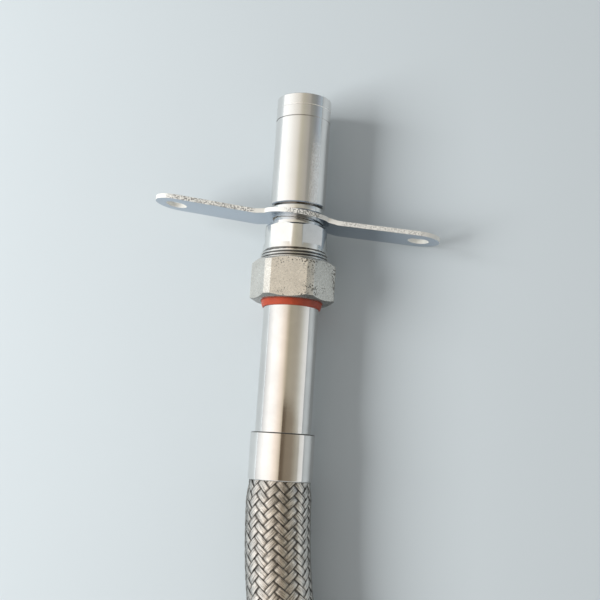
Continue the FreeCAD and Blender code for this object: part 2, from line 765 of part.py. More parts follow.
def main():
    doc = FreeCAD.newDocument("flexible_sprinkler_hose")
    pieces, tubes = make_hose_assembly(doc)
    check_document(doc, pieces)
    report_tubes(tubes)
    os.makedirs("parts", exist_ok=True)
    for piece in pieces:
        piece.Shape.exportStep("parts/%s.step" % piece.Label)
        box = piece.Shape.BoundBox
        print("%-24s %9.0f mm3  x %.1f..%.1f  y %.1f..%.1f  z %.1f..%.1f" % (
            piece.Label, piece.Shape.Volume, box.XMin, box.XMax, box.YMin, box.YMax, box.ZMin,
            box.ZMax))


main()
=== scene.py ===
"""Flexible sprinkler hose, dressed for its picture.

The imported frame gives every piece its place. The metal pieces are welded copies of the frame's
nodes with softened edges, their threads are ridges wound round them, and the hose is a woven
braid over a dark bellows, which follow one smooth route. Metres, with the middle of the outlet's
mouth at the origin, +Y out of that mouth and +Z up.
"""

import bmesh
import bpy
import json
import math

from bisect import bisect_right
from bpy.props import FloatProperty, FloatVectorProperty, IntProperty, PointerProperty
from collections import namedtuple
from mathutils import Euler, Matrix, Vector


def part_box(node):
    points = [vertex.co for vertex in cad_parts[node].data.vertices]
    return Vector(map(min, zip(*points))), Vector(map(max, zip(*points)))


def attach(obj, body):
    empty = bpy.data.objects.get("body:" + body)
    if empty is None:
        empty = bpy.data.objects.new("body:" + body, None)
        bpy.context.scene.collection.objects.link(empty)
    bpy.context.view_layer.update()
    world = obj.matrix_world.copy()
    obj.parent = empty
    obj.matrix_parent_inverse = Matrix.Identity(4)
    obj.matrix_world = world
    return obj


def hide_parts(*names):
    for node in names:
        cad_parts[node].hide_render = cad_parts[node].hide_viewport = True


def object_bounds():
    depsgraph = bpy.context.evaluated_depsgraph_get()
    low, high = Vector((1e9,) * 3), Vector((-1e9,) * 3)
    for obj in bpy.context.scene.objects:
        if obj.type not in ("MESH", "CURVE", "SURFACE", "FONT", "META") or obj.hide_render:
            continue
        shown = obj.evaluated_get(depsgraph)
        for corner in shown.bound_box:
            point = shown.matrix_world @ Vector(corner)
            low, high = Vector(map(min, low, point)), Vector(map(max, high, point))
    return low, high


bl_info = {
    "name": "Flexible Sprinkler Hose",
    "version": (1, 0, 0),
    "blender": (4, 5, 0),
    "location": "3D View > Sidebar > Sprinkler Hose",
    "description": "Dresses the frame of a braided sprinkler hose with its threads, braid and finishes",
    "category": "Add Mesh",
}

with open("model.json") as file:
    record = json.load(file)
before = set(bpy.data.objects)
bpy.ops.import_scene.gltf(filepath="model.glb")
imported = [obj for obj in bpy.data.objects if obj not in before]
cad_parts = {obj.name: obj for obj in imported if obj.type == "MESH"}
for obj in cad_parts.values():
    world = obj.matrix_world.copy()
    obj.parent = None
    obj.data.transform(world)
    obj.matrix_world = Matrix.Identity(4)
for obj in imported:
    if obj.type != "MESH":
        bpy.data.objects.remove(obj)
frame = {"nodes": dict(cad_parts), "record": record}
CAD_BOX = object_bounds()
NODES = frame["nodes"]
BODY_OF = {node: body for body, nodes in frame["record"]["behaviour"]["bodies"].items() for node in nodes}

# The free hose's route from the outlet ferrule's open end, the same points as in the part's source
ROUTE = (
    Vector((0.0, 0.0, 0.0)),
    Vector((0.0, -0.0400, 0.0)),
    Vector((0.0116, -0.0948, -0.0014)),
    Vector((0.0436, -0.1525, -0.0039)),
    Vector((0.0941, -0.1996, -0.0039)),
    Vector((0.1540, -0.2269, -0.0023)),
    Vector((0.2093, -0.2357, -0.0005)),
    Vector((0.2473, -0.2357, -0.0005)),
)

# An end of the hose: the middle of its mouth, and the way from there towards the hose
End = namedtuple("End", "mouth inward side")
INLET_LOW, INLET_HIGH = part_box("inlet_nipple")
OUTLET = End(Vector((0.0, 0.0, 0.0)), Vector((0.0, -1.0, 0.0)), Vector((1.0, 0.0, 0.0)))
INLET = End(Vector((INLET_HIGH.x, (INLET_LOW.y + INLET_HIGH.y) / 2, (INLET_LOW.z + INLET_HIGH.z) / 2)),
            Vector((-1.0, 0.0, 0.0)), Vector((0.0, 1.0, 0.0)))

WELD_DISTANCE = 1e-6
FLAT_ANGLE = math.radians(0.5)
CORNER_ANGLE = math.radians(24.0)
SHARP_ANGLE = math.radians(40.0)

# The slack in tests of where a point lies, and the width over which a drawn line fades
HAIRLINE = 0.0001


class HoseSizes(bpy.types.PropertyGroup):
    """Sizes of what is modelled here and not in the frame."""
    edge_softening: FloatProperty(
        name="Edge softening", description="Width of the small round on machined edges",
        default=0.00022, min=0.0, unit="LENGTH")
    nut_softening: FloatProperty(
        name="Nut edge softening", description="Width of the round on the nuts' worn edges",
        default=0.00045, min=0.0, unit="LENGTH")
    ring_softening: FloatProperty(
        name="Ring edge softening", description="Width of the round on the moulded rings' edges",
        default=0.0003, min=0.0, unit="LENGTH")
    first_line: FloatProperty(
        name="First line", description="From the outlet's mouth to the first scribed line",
        default=0.0061, min=0.0, unit="LENGTH")
    second_line: FloatProperty(
        name="Second line", description="From the outlet's mouth to the second scribed line",
        default=0.0124, min=0.0, unit="LENGTH")
    union_pitch: FloatProperty(
        name="Union thread pitch", description="From one crest of the union's thread to the next",
        default=0.0015, min=0.0005, unit="LENGTH")
    union_showing: FloatProperty(
        name="Union thread showing", description="Length of union thread outside the nut",
        default=0.0048, min=0.0, unit="LENGTH")
    union_crest: FloatProperty(
        name="Union thread radius", description="Radius over the union thread's crests",
        default=0.0180, min=0.001, unit="LENGTH")
    union_chamfer: FloatProperty(
        name="Union thread chamfer", description="Chamfer at the union thread's free end",
        default=0.0012, min=0.0, unit="LENGTH")
    union_depth: FloatProperty(
        name="Union thread depth", description="From crest to root of the union's thread",
        default=0.00088, min=0.0, unit="LENGTH")
    inlet_pitch: FloatProperty(
        name="Inlet thread pitch", description="Pitch of the one-inch pipe thread",
        default=0.002309, min=0.0005, unit="LENGTH")
    inlet_length: FloatProperty(
        name="Inlet thread length", description="Length of the one-inch pipe thread",
        default=0.019, min=0.0, unit="LENGTH")
    inlet_crest: FloatProperty(
        name="Inlet thread radius", description="Radius over the pipe thread's last crest",
        default=0.016625, min=0.001, unit="LENGTH")
    inlet_depth: FloatProperty(
        name="Inlet thread depth", description="From crest to root of the pipe thread",
        default=0.00148, min=0.0, unit="LENGTH")
    inlet_chamfer: FloatProperty(
        name="Inlet thread chamfer", description="Chamfer at the pipe thread's free end",
        default=0.0015, min=0.0, unit="LENGTH")
    outlet_pitch: FloatProperty(
        name="Outlet thread pitch", description="Pitch of the half-inch pipe thread in the outlet's mouth",
        default=0.001814, min=0.0005, unit="LENGTH")
    outlet_depth: FloatProperty(
        name="Outlet thread depth", description="From crest to root of the outlet's thread",
        default=0.00095, min=0.0, unit="LENGTH")
    braid_radius: FloatProperty(
        name="Braid radius", description="Mean radius of the woven layer along the free hose",
        default=0.01598, min=0.001, unit="LENGTH")
    braid_end_radius: FloatProperty(
        name="Braid end radius", description="Mean radius of the woven layer where a ferrule grips it",
        default=0.01502, min=0.001, unit="LENGTH")
    braid_flare: FloatProperty(
        name="Braid flare", description="Length over which the braid widens out of a ferrule",
        default=0.010, min=0.001, unit="LENGTH")
    braid_in_ferrule: FloatProperty(
        name="Braid in ferrule", description="How far the strands run on inside each ferrule",
        default=0.004, min=0.0, unit="LENGTH")
    strands_each_way: IntProperty(
        name="Strands each way", description="Strands that wind one way round; a multiple of two",
        default=20, min=4)
    wires_per_strand: IntProperty(
        name="Wires per strand", description="Wires that lie side by side in one strand",
        default=6, min=2)
    strand_width: FloatProperty(
        name="Strand width", description="Width of the flat bundle of wires",
        default=0.00342, min=0.0005, unit="LENGTH")
    wire_height: FloatProperty(
        name="Wire height", description="How far a wire stands above the valley beside it",
        default=0.00022, min=0.0, unit="LENGTH")
    strand_thickness: FloatProperty(
        name="Strand thickness", description="Thickness of a strand below its valleys",
        default=0.00016, min=0.0, unit="LENGTH")
    strand_crown: FloatProperty(
        name="Strand crown", description="How much lower a strand's edges lie than its middle",
        default=0.00012, min=0.0, unit="LENGTH")
    weave_depth: FloatProperty(
        name="Weave depth", description="How far a strand rises and dips from the mean radius",
        default=0.00030, min=0.0, unit="LENGTH")
    braid_step: FloatProperty(
        name="Braid step", description="Length of hose between two rows of points on a strand",
        default=0.00125, min=0.0003, unit="LENGTH")
    braid_slide: FloatProperty(
        name="Braid slide", description="How far the woven pattern starts before the free hose does",
        default=0.0015, unit="LENGTH")
    bellows_radius: FloatProperty(
        name="Bellows radius", description="Radius over the crests of the bellows under the braid",
        default=0.0141, min=0.001, unit="LENGTH")
    bellows_depth: FloatProperty(
        name="Bellows depth", description="From crest to valley of the bellows",
        default=0.0014, min=0.0, unit="LENGTH")
    bellows_pitch: FloatProperty(
        name="Bellows pitch", description="From one crest of the bellows to the next",
        default=0.0045, min=0.001, unit="LENGTH")


class HoseFinishes(bpy.types.PropertyGroup):
    """Base colours of the finishes, and the colour laid on as painted shade."""
    polished: FloatVectorProperty(
        name="Polished sleeve", description="Colour of the outlet tube's polished steel",
        default=(0.80, 0.79, 0.775), min=0.0, max=1.0, subtype="COLOR")
    plated: FloatVectorProperty(
        name="Plated steel", description="Colour of the bright plated fittings",
        default=(0.80, 0.80, 0.785), min=0.0, max=1.0, subtype="COLOR")
    # The sheet colour is the zinc darkened and tinted blue, a painted reflection of a shaded blue floor.
    sheet: FloatVectorProperty(
        name="Zinc sheet", description="Colour of the bracket's smooth faces",
        default=(0.44, 0.50, 0.58), min=0.0, max=1.0, subtype="COLOR")
    sheared: FloatVectorProperty(
        name="Sheared edge", description="Colour of the bracket's rough cut edges",
        default=(0.90, 0.89, 0.84), min=0.0, max=1.0, subtype="COLOR")
    nut: FloatVectorProperty(
        name="Zinc nut", description="Colour of the nuts' speckled zinc",
        default=(0.72, 0.70, 0.65), min=0.0, max=1.0, subtype="COLOR")
    pits: FloatVectorProperty(
        name="Nut pits", description="Colour in the nuts' small pits",
        default=(0.12, 0.11, 0.09), min=0.0, max=1.0, subtype="COLOR")
    plastic: FloatVectorProperty(
        name="Isolation plastic", description="Colour of the orange-red rings",
        default=(0.44, 0.052, 0.014), min=0.0, max=1.0, subtype="COLOR")
    rubber: FloatVectorProperty(
        name="Gasket rubber", description="Colour of the gaskets",
        default=(0.02, 0.02, 0.02), min=0.0, max=1.0, subtype="COLOR")
    satin: FloatVectorProperty(
        name="Satin stainless", description="Colour of the end tubes and ferrules",
        default=(0.76, 0.75, 0.735), min=0.0, max=1.0, subtype="COLOR")
    # The bellows' near-black colour is painted shade for the gaps in the braid, not the steel's own colour.
    bellows: FloatVectorProperty(
        name="Bellows", description="Colour of the dull bellows under the braid",
        default=(0.05, 0.047, 0.043), min=0.0, max=1.0, subtype="COLOR")
    wire: FloatVectorProperty(
        name="Braid wire", description="Colour of the braid's wires",
        default=(0.71, 0.685, 0.645), min=0.0, max=1.0, subtype="COLOR")
    # Painted shade: the dark colour laid in grooves, thread roots, the gap behind the outlet tube, the
    # ferrules' rims and the braid's strand edges and dips.
    shade_paint: FloatVectorProperty(
        name="Painted shade", description="Colour of the dark lines where pieces meet",
        default=(0.04, 0.032, 0.025), min=0.0, max=1.0, subtype="COLOR")


class HoseStage(bpy.types.PropertyGroup):
    """The floor, the lamps and the camera."""
    floor_colour: FloatVectorProperty(
        name="Floor", description="Colour of the plain pale floor",
        default=(0.66, 0.72, 0.745), min=0.0, max=1.0, subtype="COLOR")
    floor_size: FloatProperty(
        name="Floor size", description="Side of the square floor", default=6.0, min=1.0, unit="LENGTH")
    key_power: FloatProperty(
        name="Window power", description="Power of the large soft lamp on the left",
        default=20.0, min=0.0, unit="POWER")
    fill_strength: FloatProperty(
        name="Fill strength", description="Strength of the even light from all round",
        default=0.36, min=0.0)
    backdrop_colour: FloatVectorProperty(
        name="Backdrop", description="Colour past the floor's edge, as the camera and metal see it",
        default=(0.62, 0.66, 0.68), min=0.0, max=1.0, subtype="COLOR")
    arch_radius: FloatProperty(
        name="Arch radius", description="Radius of the arch that the metal reflects",
        default=1.5, min=0.6, unit="LENGTH")
    arch_depth: FloatProperty(
        name="Arch depth", description="Length of that arch along the outlet's axis",
        default=4.0, min=0.6, unit="LENGTH")
    camera_place: FloatVectorProperty(
        name="Camera place", description="Where the photograph was taken from",
        default=(0.0672, -0.1846, 0.4599), subtype="TRANSLATION", unit="LENGTH")
    camera_turn: FloatVectorProperty(
        name="Camera turn", description="How the camera is turned from looking straight down",
        default=(math.radians(9.83), math.radians(7.17), math.radians(3.661)),
        subtype="EULER", unit="ROTATION")
    camera_lens: FloatProperty(
        name="Focal length", description="Focal length on a 36 mm sensor", default=54.3, min=1.0)


def sizes():
    return bpy.context.scene.hose_sizes


def finishes():
    return bpy.context.scene.hose_finishes


# Mesh helpers

def station(end, point):
    """How far a point lies from an end's mouth, along that end's axis."""
    return (point - end.mouth).dot(end.inward)


def off_axis(end, point):
    """From an end's axis to a point, square to the axis."""
    return point - end.mouth - end.inward * station(end, point)


def node_start(end, node):
    """The station at which a frame's node starts, counted from an end's mouth."""
    return min(station(end, corner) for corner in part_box(node))


def node_stop(end, node):
    """The station at which a frame's node stops, counted from an end's mouth."""
    return max(station(end, corner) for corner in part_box(node))


def set_radius(end, vert, radius):
    """Moves a vertex straight in or out to a radius from an end's axis."""
    away = off_axis(end, vert.co)
    vert.co += away.normalized() * (radius - away.length)


def welded_copy(node):
    """A bmesh of a frame's node, with its loose triangles joined and its flat faces whole."""
    bm = bmesh.new()
    bm.from_mesh(NODES[node].data)
    bmesh.ops.remove_doubles(bm, verts=bm.verts, dist=WELD_DISTANCE)
    bmesh.ops.dissolve_limit(bm, angle_limit=FLAT_ANGLE, verts=bm.verts, edges=bm.edges)
    return bm


def soften(bm, width):
    """Rounds every corner of a piece a little."""
    corners = [edge for edge in bm.edges if edge.is_manifold and edge.calc_face_angle() > CORNER_ANGLE]
    bmesh.ops.bevel(bm, geom=corners, offset=width, offset_type="OFFSET", segments=2, profile=0.5,
                    affect="EDGES", material=-1, clamp_overlap=True)


def wind_thread(bm, end, first, last, pitch, root, crest, limit):
    """Winds one right-handed ridge round an end's axis between two stations, closed at its ends.

    root and crest are radii, and limit gives the furthest radius that the crest may have at a
    station. The ridge rises out of its root over the first and the last quarter turn.
    """
    steps_per_turn = 64
    half_root = 0.47 * pitch
    half_crest = 0.09 * pitch
    sunk = 0.03 * pitch
    foot = root - math.copysign(sunk, crest - root)
    middle = end.mouth + end.inward * (first + half_root)
    section = ((foot, -half_root), (foot, half_root), (crest, half_crest), (crest, -half_crest))
    corners = [bm.verts.new(middle + end.side * radius + end.inward * along) for radius, along in section]
    rim = [bm.edges.new((corners[i], corners[(i + 1) % 4])) for i in range(4)]
    old_verts = set(bm.verts) - set(corners)
    old_faces = set(bm.faces)
    turns = (last - first - 2 * half_root) / pitch
    steps = round(turns * steps_per_turn)
    bmesh.ops.spin(bm, geom=corners + rim, cent=end.mouth, axis=end.inward, angle=2 * math.pi * turns,
                   steps=steps, dvec=end.inward * (pitch * turns / steps), use_merge=False)
    open_ends = [edge for edge in bm.edges if edge.is_boundary]
    bmesh.ops.holes_fill(bm, edges=open_ends, sides=4)
    ridge = [face for face in bm.faces if face not in old_faces]
    bmesh.ops.recalc_face_normals(bm, faces=ridge)

    rise = pitch / 4
    outward = math.copysign(1.0, crest - root)
    for vert in bm.verts:
        if vert in old_verts:
            continue
        along = station(end, vert.co)
        share = min(1.0, (along - first) / rise, (last - along) / rise)
        height = (off_axis(end, vert.co).length - foot) * outward * max(share, 0.0)
        set_radius(end, vert, foot + outward * min(height, max((limit(along) - foot) * outward, 0.0)))


def mesh_of(bm, name):
    """A mesh made of a bmesh, which is freed."""
    mesh = bpy.data.meshes.new(name)
    bm.to_mesh(mesh)
    bm.free()
    return mesh


def closed_mesh(name, verts, faces):
    """A mesh of points and faces, smooth, with its faces turned outwards."""
    mesh = bpy.data.meshes.new(name)
    mesh.from_pydata(verts, [], faces)
    bm = bmesh.new()
    bm.from_mesh(mesh)
    bmesh.ops.recalc_face_normals(bm, faces=bm.faces)
    for face in bm.faces:
        face.smooth = True
    bm.to_mesh(mesh)
    bm.free()
    return mesh


def add_object(name, mesh, material):
    """An object in the scene, with one material."""
    mesh.materials.append(material)
    piece = bpy.data.objects.new(name, mesh)
    bpy.context.scene.collection.objects.link(piece)
    return piece


def finish_piece(bm, name, material, node):
    """Turns a bmesh into the piece that stands for a frame's node, with smooth shading."""
    for face in bm.faces:
        face.smooth = True
    for edge in bm.edges:
        edge.smooth = not (edge.is_manifold and edge.calc_face_angle() > SHARP_ANGLE)
    piece = add_object(name, mesh_of(bm, name), material)
    weights = piece.modifiers.new("Even shading", "WEIGHTED_NORMAL")
    weights.keep_sharp = True
    weights.weight = 80
    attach(piece, BODY_OF[node])
    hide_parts(node)
    return piece


def dress(node, name, softening, material):
    """Dresses a frame's node in the plainest way, with softened edges and a material."""
    bm = welded_copy(node)
    soften(bm, softening)
    return finish_piece(bm, name, material, node)


# Material helpers

def set_sockets(tree, node, sockets):
    """Sets a node's sockets to values, or links them to other nodes' sockets."""
    for key, value in sockets.items():
        if isinstance(value, bpy.types.NodeSocket):
            tree.links.new(value, node.inputs[key])
        else:
            node.inputs[key].default_value = value


def add_node(tree, kind, sockets=None, **settings):
    """A shader node with its settings and its sockets."""
    node = tree.nodes.new(kind)
    for key, value in settings.items():
        setattr(node, key, value)
    set_sockets(tree, node, sockets or {})
    return node


def start_material(name):
    """An empty node material: its tree and its shader."""
    material = bpy.data.materials.new(name)
    material.use_nodes = True
    tree = material.node_tree
    tree.nodes.clear()
    shader = add_node(tree, "ShaderNodeBsdfPrincipled")
    add_node(tree, "ShaderNodeOutputMaterial", {"Surface": shader.outputs["BSDF"]})
    return material, tree, shader


def reading(tree, kind):
    """One of the piece's own coordinates, Object or Normal."""
    return add_node(tree, "ShaderNodeTexCoord").outputs[kind]


def object_coordinates(tree, scale=(1.0, 1.0, 1.0)):
    """Object coordinates, stretched by a scale on each axis."""
    stretched = add_node(tree, "ShaderNodeMapping", {"Vector": reading(tree, "Object"), "Scale": scale})
    return stretched.outputs["Vector"]


def parts_of(tree, vector):
    """A vector's X, Y and Z."""
    return add_node(tree, "ShaderNodeSeparateXYZ", {"Vector": vector}).outputs


def noise(tree, vector, scale, detail=2.0, roughness=0.5):
    """Soft noise between 0 and 1."""
    node = add_node(tree, "ShaderNodeTexNoise", {
        "Vector": vector, "Scale": scale, "Detail": detail, "Roughness": roughness})
    return node.outputs["Fac"]


def ranged(tree, value, low, high, to_low=0.0, to_high=1.0):
    """A value's range mapped to another, held at its ends."""
    node = add_node(tree, "ShaderNodeMapRange", {
        "Value": value, "From Min": low, "From Max": high, "To Min": to_low, "To Max": to_high})
    return node.outputs["Result"]


def maths(tree, operation, first, second=0.0):
    """One sum on two values."""
    node = add_node(tree, "ShaderNodeMath", {0: first, 1: second}, operation=operation)
    return node.outputs["Value"]


def product(tree, first, *factors):
    """A value multiplied by each factor in turn."""
    for factor in factors:
        first = maths(tree, "MULTIPLY", first, factor)
    return first


def apart(tree, value, middle):
    """How far a value lies from a middle, to either side."""
    return maths(tree, "ABSOLUTE", maths(tree, "SUBTRACT", value, middle))


def vector_maths(tree, operation, first, second=(0.0, 0.0, 0.0)):
    """One sum on two vectors, with its answer as a Vector or a Value."""
    return add_node(tree, "ShaderNodeVectorMath", {0: first, 1: second}, operation=operation).outputs


def mixed(tree, share, first, second):
    """A mix of two colours."""
    node = add_node(tree, "ShaderNodeMix", {0: share, 6: opaque(first), 7: opaque(second)},
                    data_type="RGBA")
    return node.outputs[2]


def blended(tree, share, first, second):
    """A mix of two values."""
    return add_node(tree, "ShaderNodeMix", {0: share, 2: first, 3: second}).outputs[0]


def ramp(tree, value, stops):
    """A colour read from (place, colour) stops, the first at 0 and the last at 1."""
    node = add_node(tree, "ShaderNodeValToRGB", {"Fac": value})
    elements = node.color_ramp.elements
    elements[0].color = opaque(stops[0][1])
    elements[1].color = opaque(stops[-1][1])
    for place, colour in stops[1:-1]:
        elements.new(place).color = opaque(colour)
    return node.outputs["Color"]


def opaque(colour):
    """A colour with its alpha, or the socket that it already is."""
    if isinstance(colour, bpy.types.NodeSocket):
        return colour
    return (*colour[:3], 1.0)


def shaded(colour, share):
    """A colour made darker or paler by a share."""
    return [min(channel * share, 1.0) for channel in colour]


def varied(tree, share, colour, first, second):
    """A mix of two shades of one colour."""
    return mixed(tree, share, shaded(colour, first), shaded(colour, second))


def bumped(tree, height, distance):
    """A normal from a height between 0 and 1, over a distance in metres."""
    node = add_node(tree, "ShaderNodeBump", {"Strength": 1.0, "Distance": distance, "Height": height})
    return node.outputs["Normal"]


def along_axis(end, along, around):
    """A scale that is fine along an end's axis and coarse round it."""
    return [along if abs(end.inward[i]) > 0.5 else around for i in range(3)]


def axis_readings(tree, end):
    """Each point's distance from an end's mouth along its axis, and its distance from that axis."""
    offset = vector_maths(tree, "SUBTRACT", reading(tree, "Object"), end.mouth)["Vector"]
    along = vector_maths(tree, "DOT_PRODUCT", offset, end.inward)["Value"]
    across = [0.0 if abs(part) > 0.5 else 1.0 for part in end.inward]
    flat = vector_maths(tree, "MULTIPLY", offset, across)["Vector"]
    return along, vector_maths(tree, "LENGTH", flat)["Value"]


def band_at(tree, along, middle, half_width, fade=HAIRLINE):
    """1 within a band along an axis, and 0 beside it."""
    return ranged(tree, apart(tree, along, middle), half_width + fade, half_width)


# Finishes

def polished_steel():
    """The outlet tube: polished, with fine turning lines, a frosted patch, and two scribed lines, the first
    with a painted highlight and the second with painted shade in its groove.
    """
    colour = finishes().polished
    outer_wall = (0.0135, 0.0137)
    patch_middle = math.radians(41.0)
    patch_sides = (math.radians(15.0), math.radians(8.0))
    patch_start = (0.016, 0.034)
    highlight_side = (math.radians(-40.0), math.radians(25.0))
    groove_shade_side = (math.radians(45.0), math.radians(-5.0))
    material, tree, shader = start_material("polished_steel")
    lines = noise(tree, object_coordinates(tree, along_axis(OUTLET, 5200.0, 40.0)), 1.0, 2.0, 0.6)
    marks = noise(tree, object_coordinates(tree), 240.0, 4.0, 0.6)
    blotches = noise(tree, object_coordinates(tree), 60.0, 2.0)
    frost = noise(tree, object_coordinates(tree), 1300.0, 3.0, 0.7)
    along, radius = axis_readings(tree, OUTLET)
    place = parts_of(tree, reading(tree, "Object"))
    turn = maths(tree, "ARCTAN2", place["X"], place["Z"])
    outside = ranged(tree, radius, *outer_wall)
    patch = product(tree, ranged(tree, apart(tree, turn, patch_middle), *patch_sides),
                    ranged(tree, along, *patch_start), outside, ranged(tree, blotches, 0.25, 0.45))
    tint = varied(tree, ranged(tree, blotches, 0.35, 0.7), colour, 0.97, 1.02)
    tint = mixed(tree, product(tree, patch, ranged(tree, frost, 0.40, 0.60)), tint, shaded(colour, 1.3))
    # Painted highlight along the first scribed line, strongest on the +X side of the tube.
    bright = product(tree, band_at(tree, along, sizes().first_line, 0.0002),
                     ranged(tree, turn, *highlight_side, 0.35, 1.0))
    # Painted shade in the second scribed line's groove, strongest on the -X side of the tube.
    dark = product(tree, band_at(tree, along, sizes().second_line, 0.0001),
                   ranged(tree, turn, *groove_shade_side, 0.15, 0.75))
    tint = mixed(tree, product(tree, bright, outside), tint, shaded(colour, 1.25))
    tint = mixed(tree, product(tree, dark, outside), tint, finishes().shade_paint)
    rough = maths(tree, "ADD", ranged(tree, lines, 0.3, 0.7, 0.07, 0.11),
                  ranged(tree, marks, 0.5, 0.8, 0.0, 0.06))
    rough = maths(tree, "ADD", rough, product(tree, maths(tree, "MAXIMUM", bright, patch), 0.28))
    rubbed = product(tree, patch, 6.0, ranged(tree, frost, 0.40, 0.70))
    height = maths(tree, "ADD", product(tree, lines, 0.3), rubbed)
    set_sockets(tree, shader, {
        "Base Color": tint, "Metallic": 1.0, "Roughness": rough,
        "Normal": bumped(tree, height, 0.000010)})
    return material


def plated_steel(end, name, threads=()):
    """Bright plating over turned and milled steel, with painted shade in the roots of its threads.

    Each thread is its first and last station, and its root and crest radius.
    """
    colour = finishes().plated
    material, tree, shader = start_material(name)
    lines = noise(tree, object_coordinates(tree, along_axis(end, 4200.0, 160.0)), 1.0, 3.0, 0.6)
    grain = noise(tree, object_coordinates(tree), 1500.0, 3.0, 0.6)
    marks = noise(tree, object_coordinates(tree), 210.0, 4.0, 0.65)
    tint = varied(tree, ranged(tree, marks, 0.3, 0.75), colour, 1.03, 0.95)
    along, radius = axis_readings(tree, end)
    for first, last, root, crest in threads:
        depth = crest - root
        inside = product(tree, ranged(tree, along, first - HAIRLINE, first),
                         ranged(tree, along, last + HAIRLINE, last))
        # Painted shade, strongest at the root, where shade falls in a thread's groove.
        root_shade = ranged(tree, radius, root + 0.55 * depth, root + 0.10 * depth)
        tint = mixed(tree, product(tree, inside, root_shade, 0.8), tint, finishes().shade_paint)
    height = maths(tree, "ADD", lines, product(tree, grain, 0.6))
    set_sockets(tree, shader, {
        "Base Color": tint, "Metallic": 1.0, "Roughness": ranged(tree, marks, 0.3, 0.8, 0.09, 0.17),
        "Normal": bumped(tree, height, 0.000005)})
    return material


def zinc_sheet():
    """The bracket: smooth faces, darkened and tinted blue as a painted reflection of a shaded blue floor,
    and sheared edges that are pale, rough and speckled.

    The edges are clean at the ears' tips, along two runs by the round middle and inside the ear
    holes. Each run is the place of its middle along the bracket, and half its length.
    """
    colour = finishes().sheet
    tips = (0.0655, 0.0675)
    runs = ((-0.0118, 0.0075), (0.0195, 0.0040))
    run_fade = 0.003
    hole_wall = (0.0066, 0.0062)
    material, tree, shader = start_material("zinc_sheet")
    place = reading(tree, "Object")
    facing = vector_maths(tree, "DOT_PRODUCT", reading(tree, "Normal"), sheet_normal())["Value"]
    edge = ranged(tree, maths(tree, "ABSOLUTE", facing), 0.85, 0.60)
    across = parts_of(tree, place)["X"]
    clouds = noise(tree, place, 260.0, 3.0, 0.55)
    speckle = noise(tree, place, 1700.0, 0.0, 0.5)
    grit = noise(tree, place, 2600.0, 2.0, 0.7)
    clean = ranged(tree, maths(tree, "ABSOLUTE", across), *tips)
    for middle, half in runs:
        run = ranged(tree, apart(tree, across, middle), half + run_fade, half)
        clean = maths(tree, "MAXIMUM", clean, run)
    for mount in frame["record"]["mounts"]:
        if "ear_hole" in mount["name"]:
            from_hole = vector_maths(tree, "DISTANCE", place, mount["pos_m"])["Value"]
            clean = maths(tree, "MAXIMUM", clean, ranged(tree, from_hole, *hole_wall))
    # The faces carry the sheet colour, a painted reflection of a shaded blue floor over the zinc.
    face_tint = varied(tree, ranged(tree, clouds, 0.3, 0.7), colour, 0.94, 1.05)
    spots = product(tree, ranged(tree, speckle, 0.50, 0.42), maths(tree, "SUBTRACT", 1.0, clean),
                    ranged(tree, across, 0.012, 0.024, 0.85, 0.45))
    edge_tint = mixed(tree, spots, finishes().sheared, shaded(finishes().sheared, 0.16))
    rough = blended(tree, edge, ranged(tree, clouds, 0.3, 0.8, 0.16, 0.26),
                    ranged(tree, speckle, 0.3, 0.7, 0.55, 0.40))
    rubble = product(tree, maths(tree, "ADD", speckle, product(tree, grit, 0.5)),
                     maths(tree, "SUBTRACT", 1.0, product(tree, clean, 0.8)))
    height = blended(tree, edge, product(tree, clouds, 0.03), rubble)
    set_sockets(tree, shader, {
        "Base Color": mixed(tree, edge, face_tint, edge_tint),
        "Metallic": ranged(tree, edge, 0.0, 1.0, 1.0, 0.25), "Roughness": rough,
        "Normal": bumped(tree, height, 0.00014)})
    return material


def sheet_normal():
    """The way through the bracket's sheet, between the ways through its two ears."""
    mounts = {mount["name"]: mount for mount in frame["record"]["mounts"]}
    way = Vector(mounts["left_ear_hole"]["axis"]) + Vector(mounts["right_ear_hole"]["axis"])
    return way.normalized()


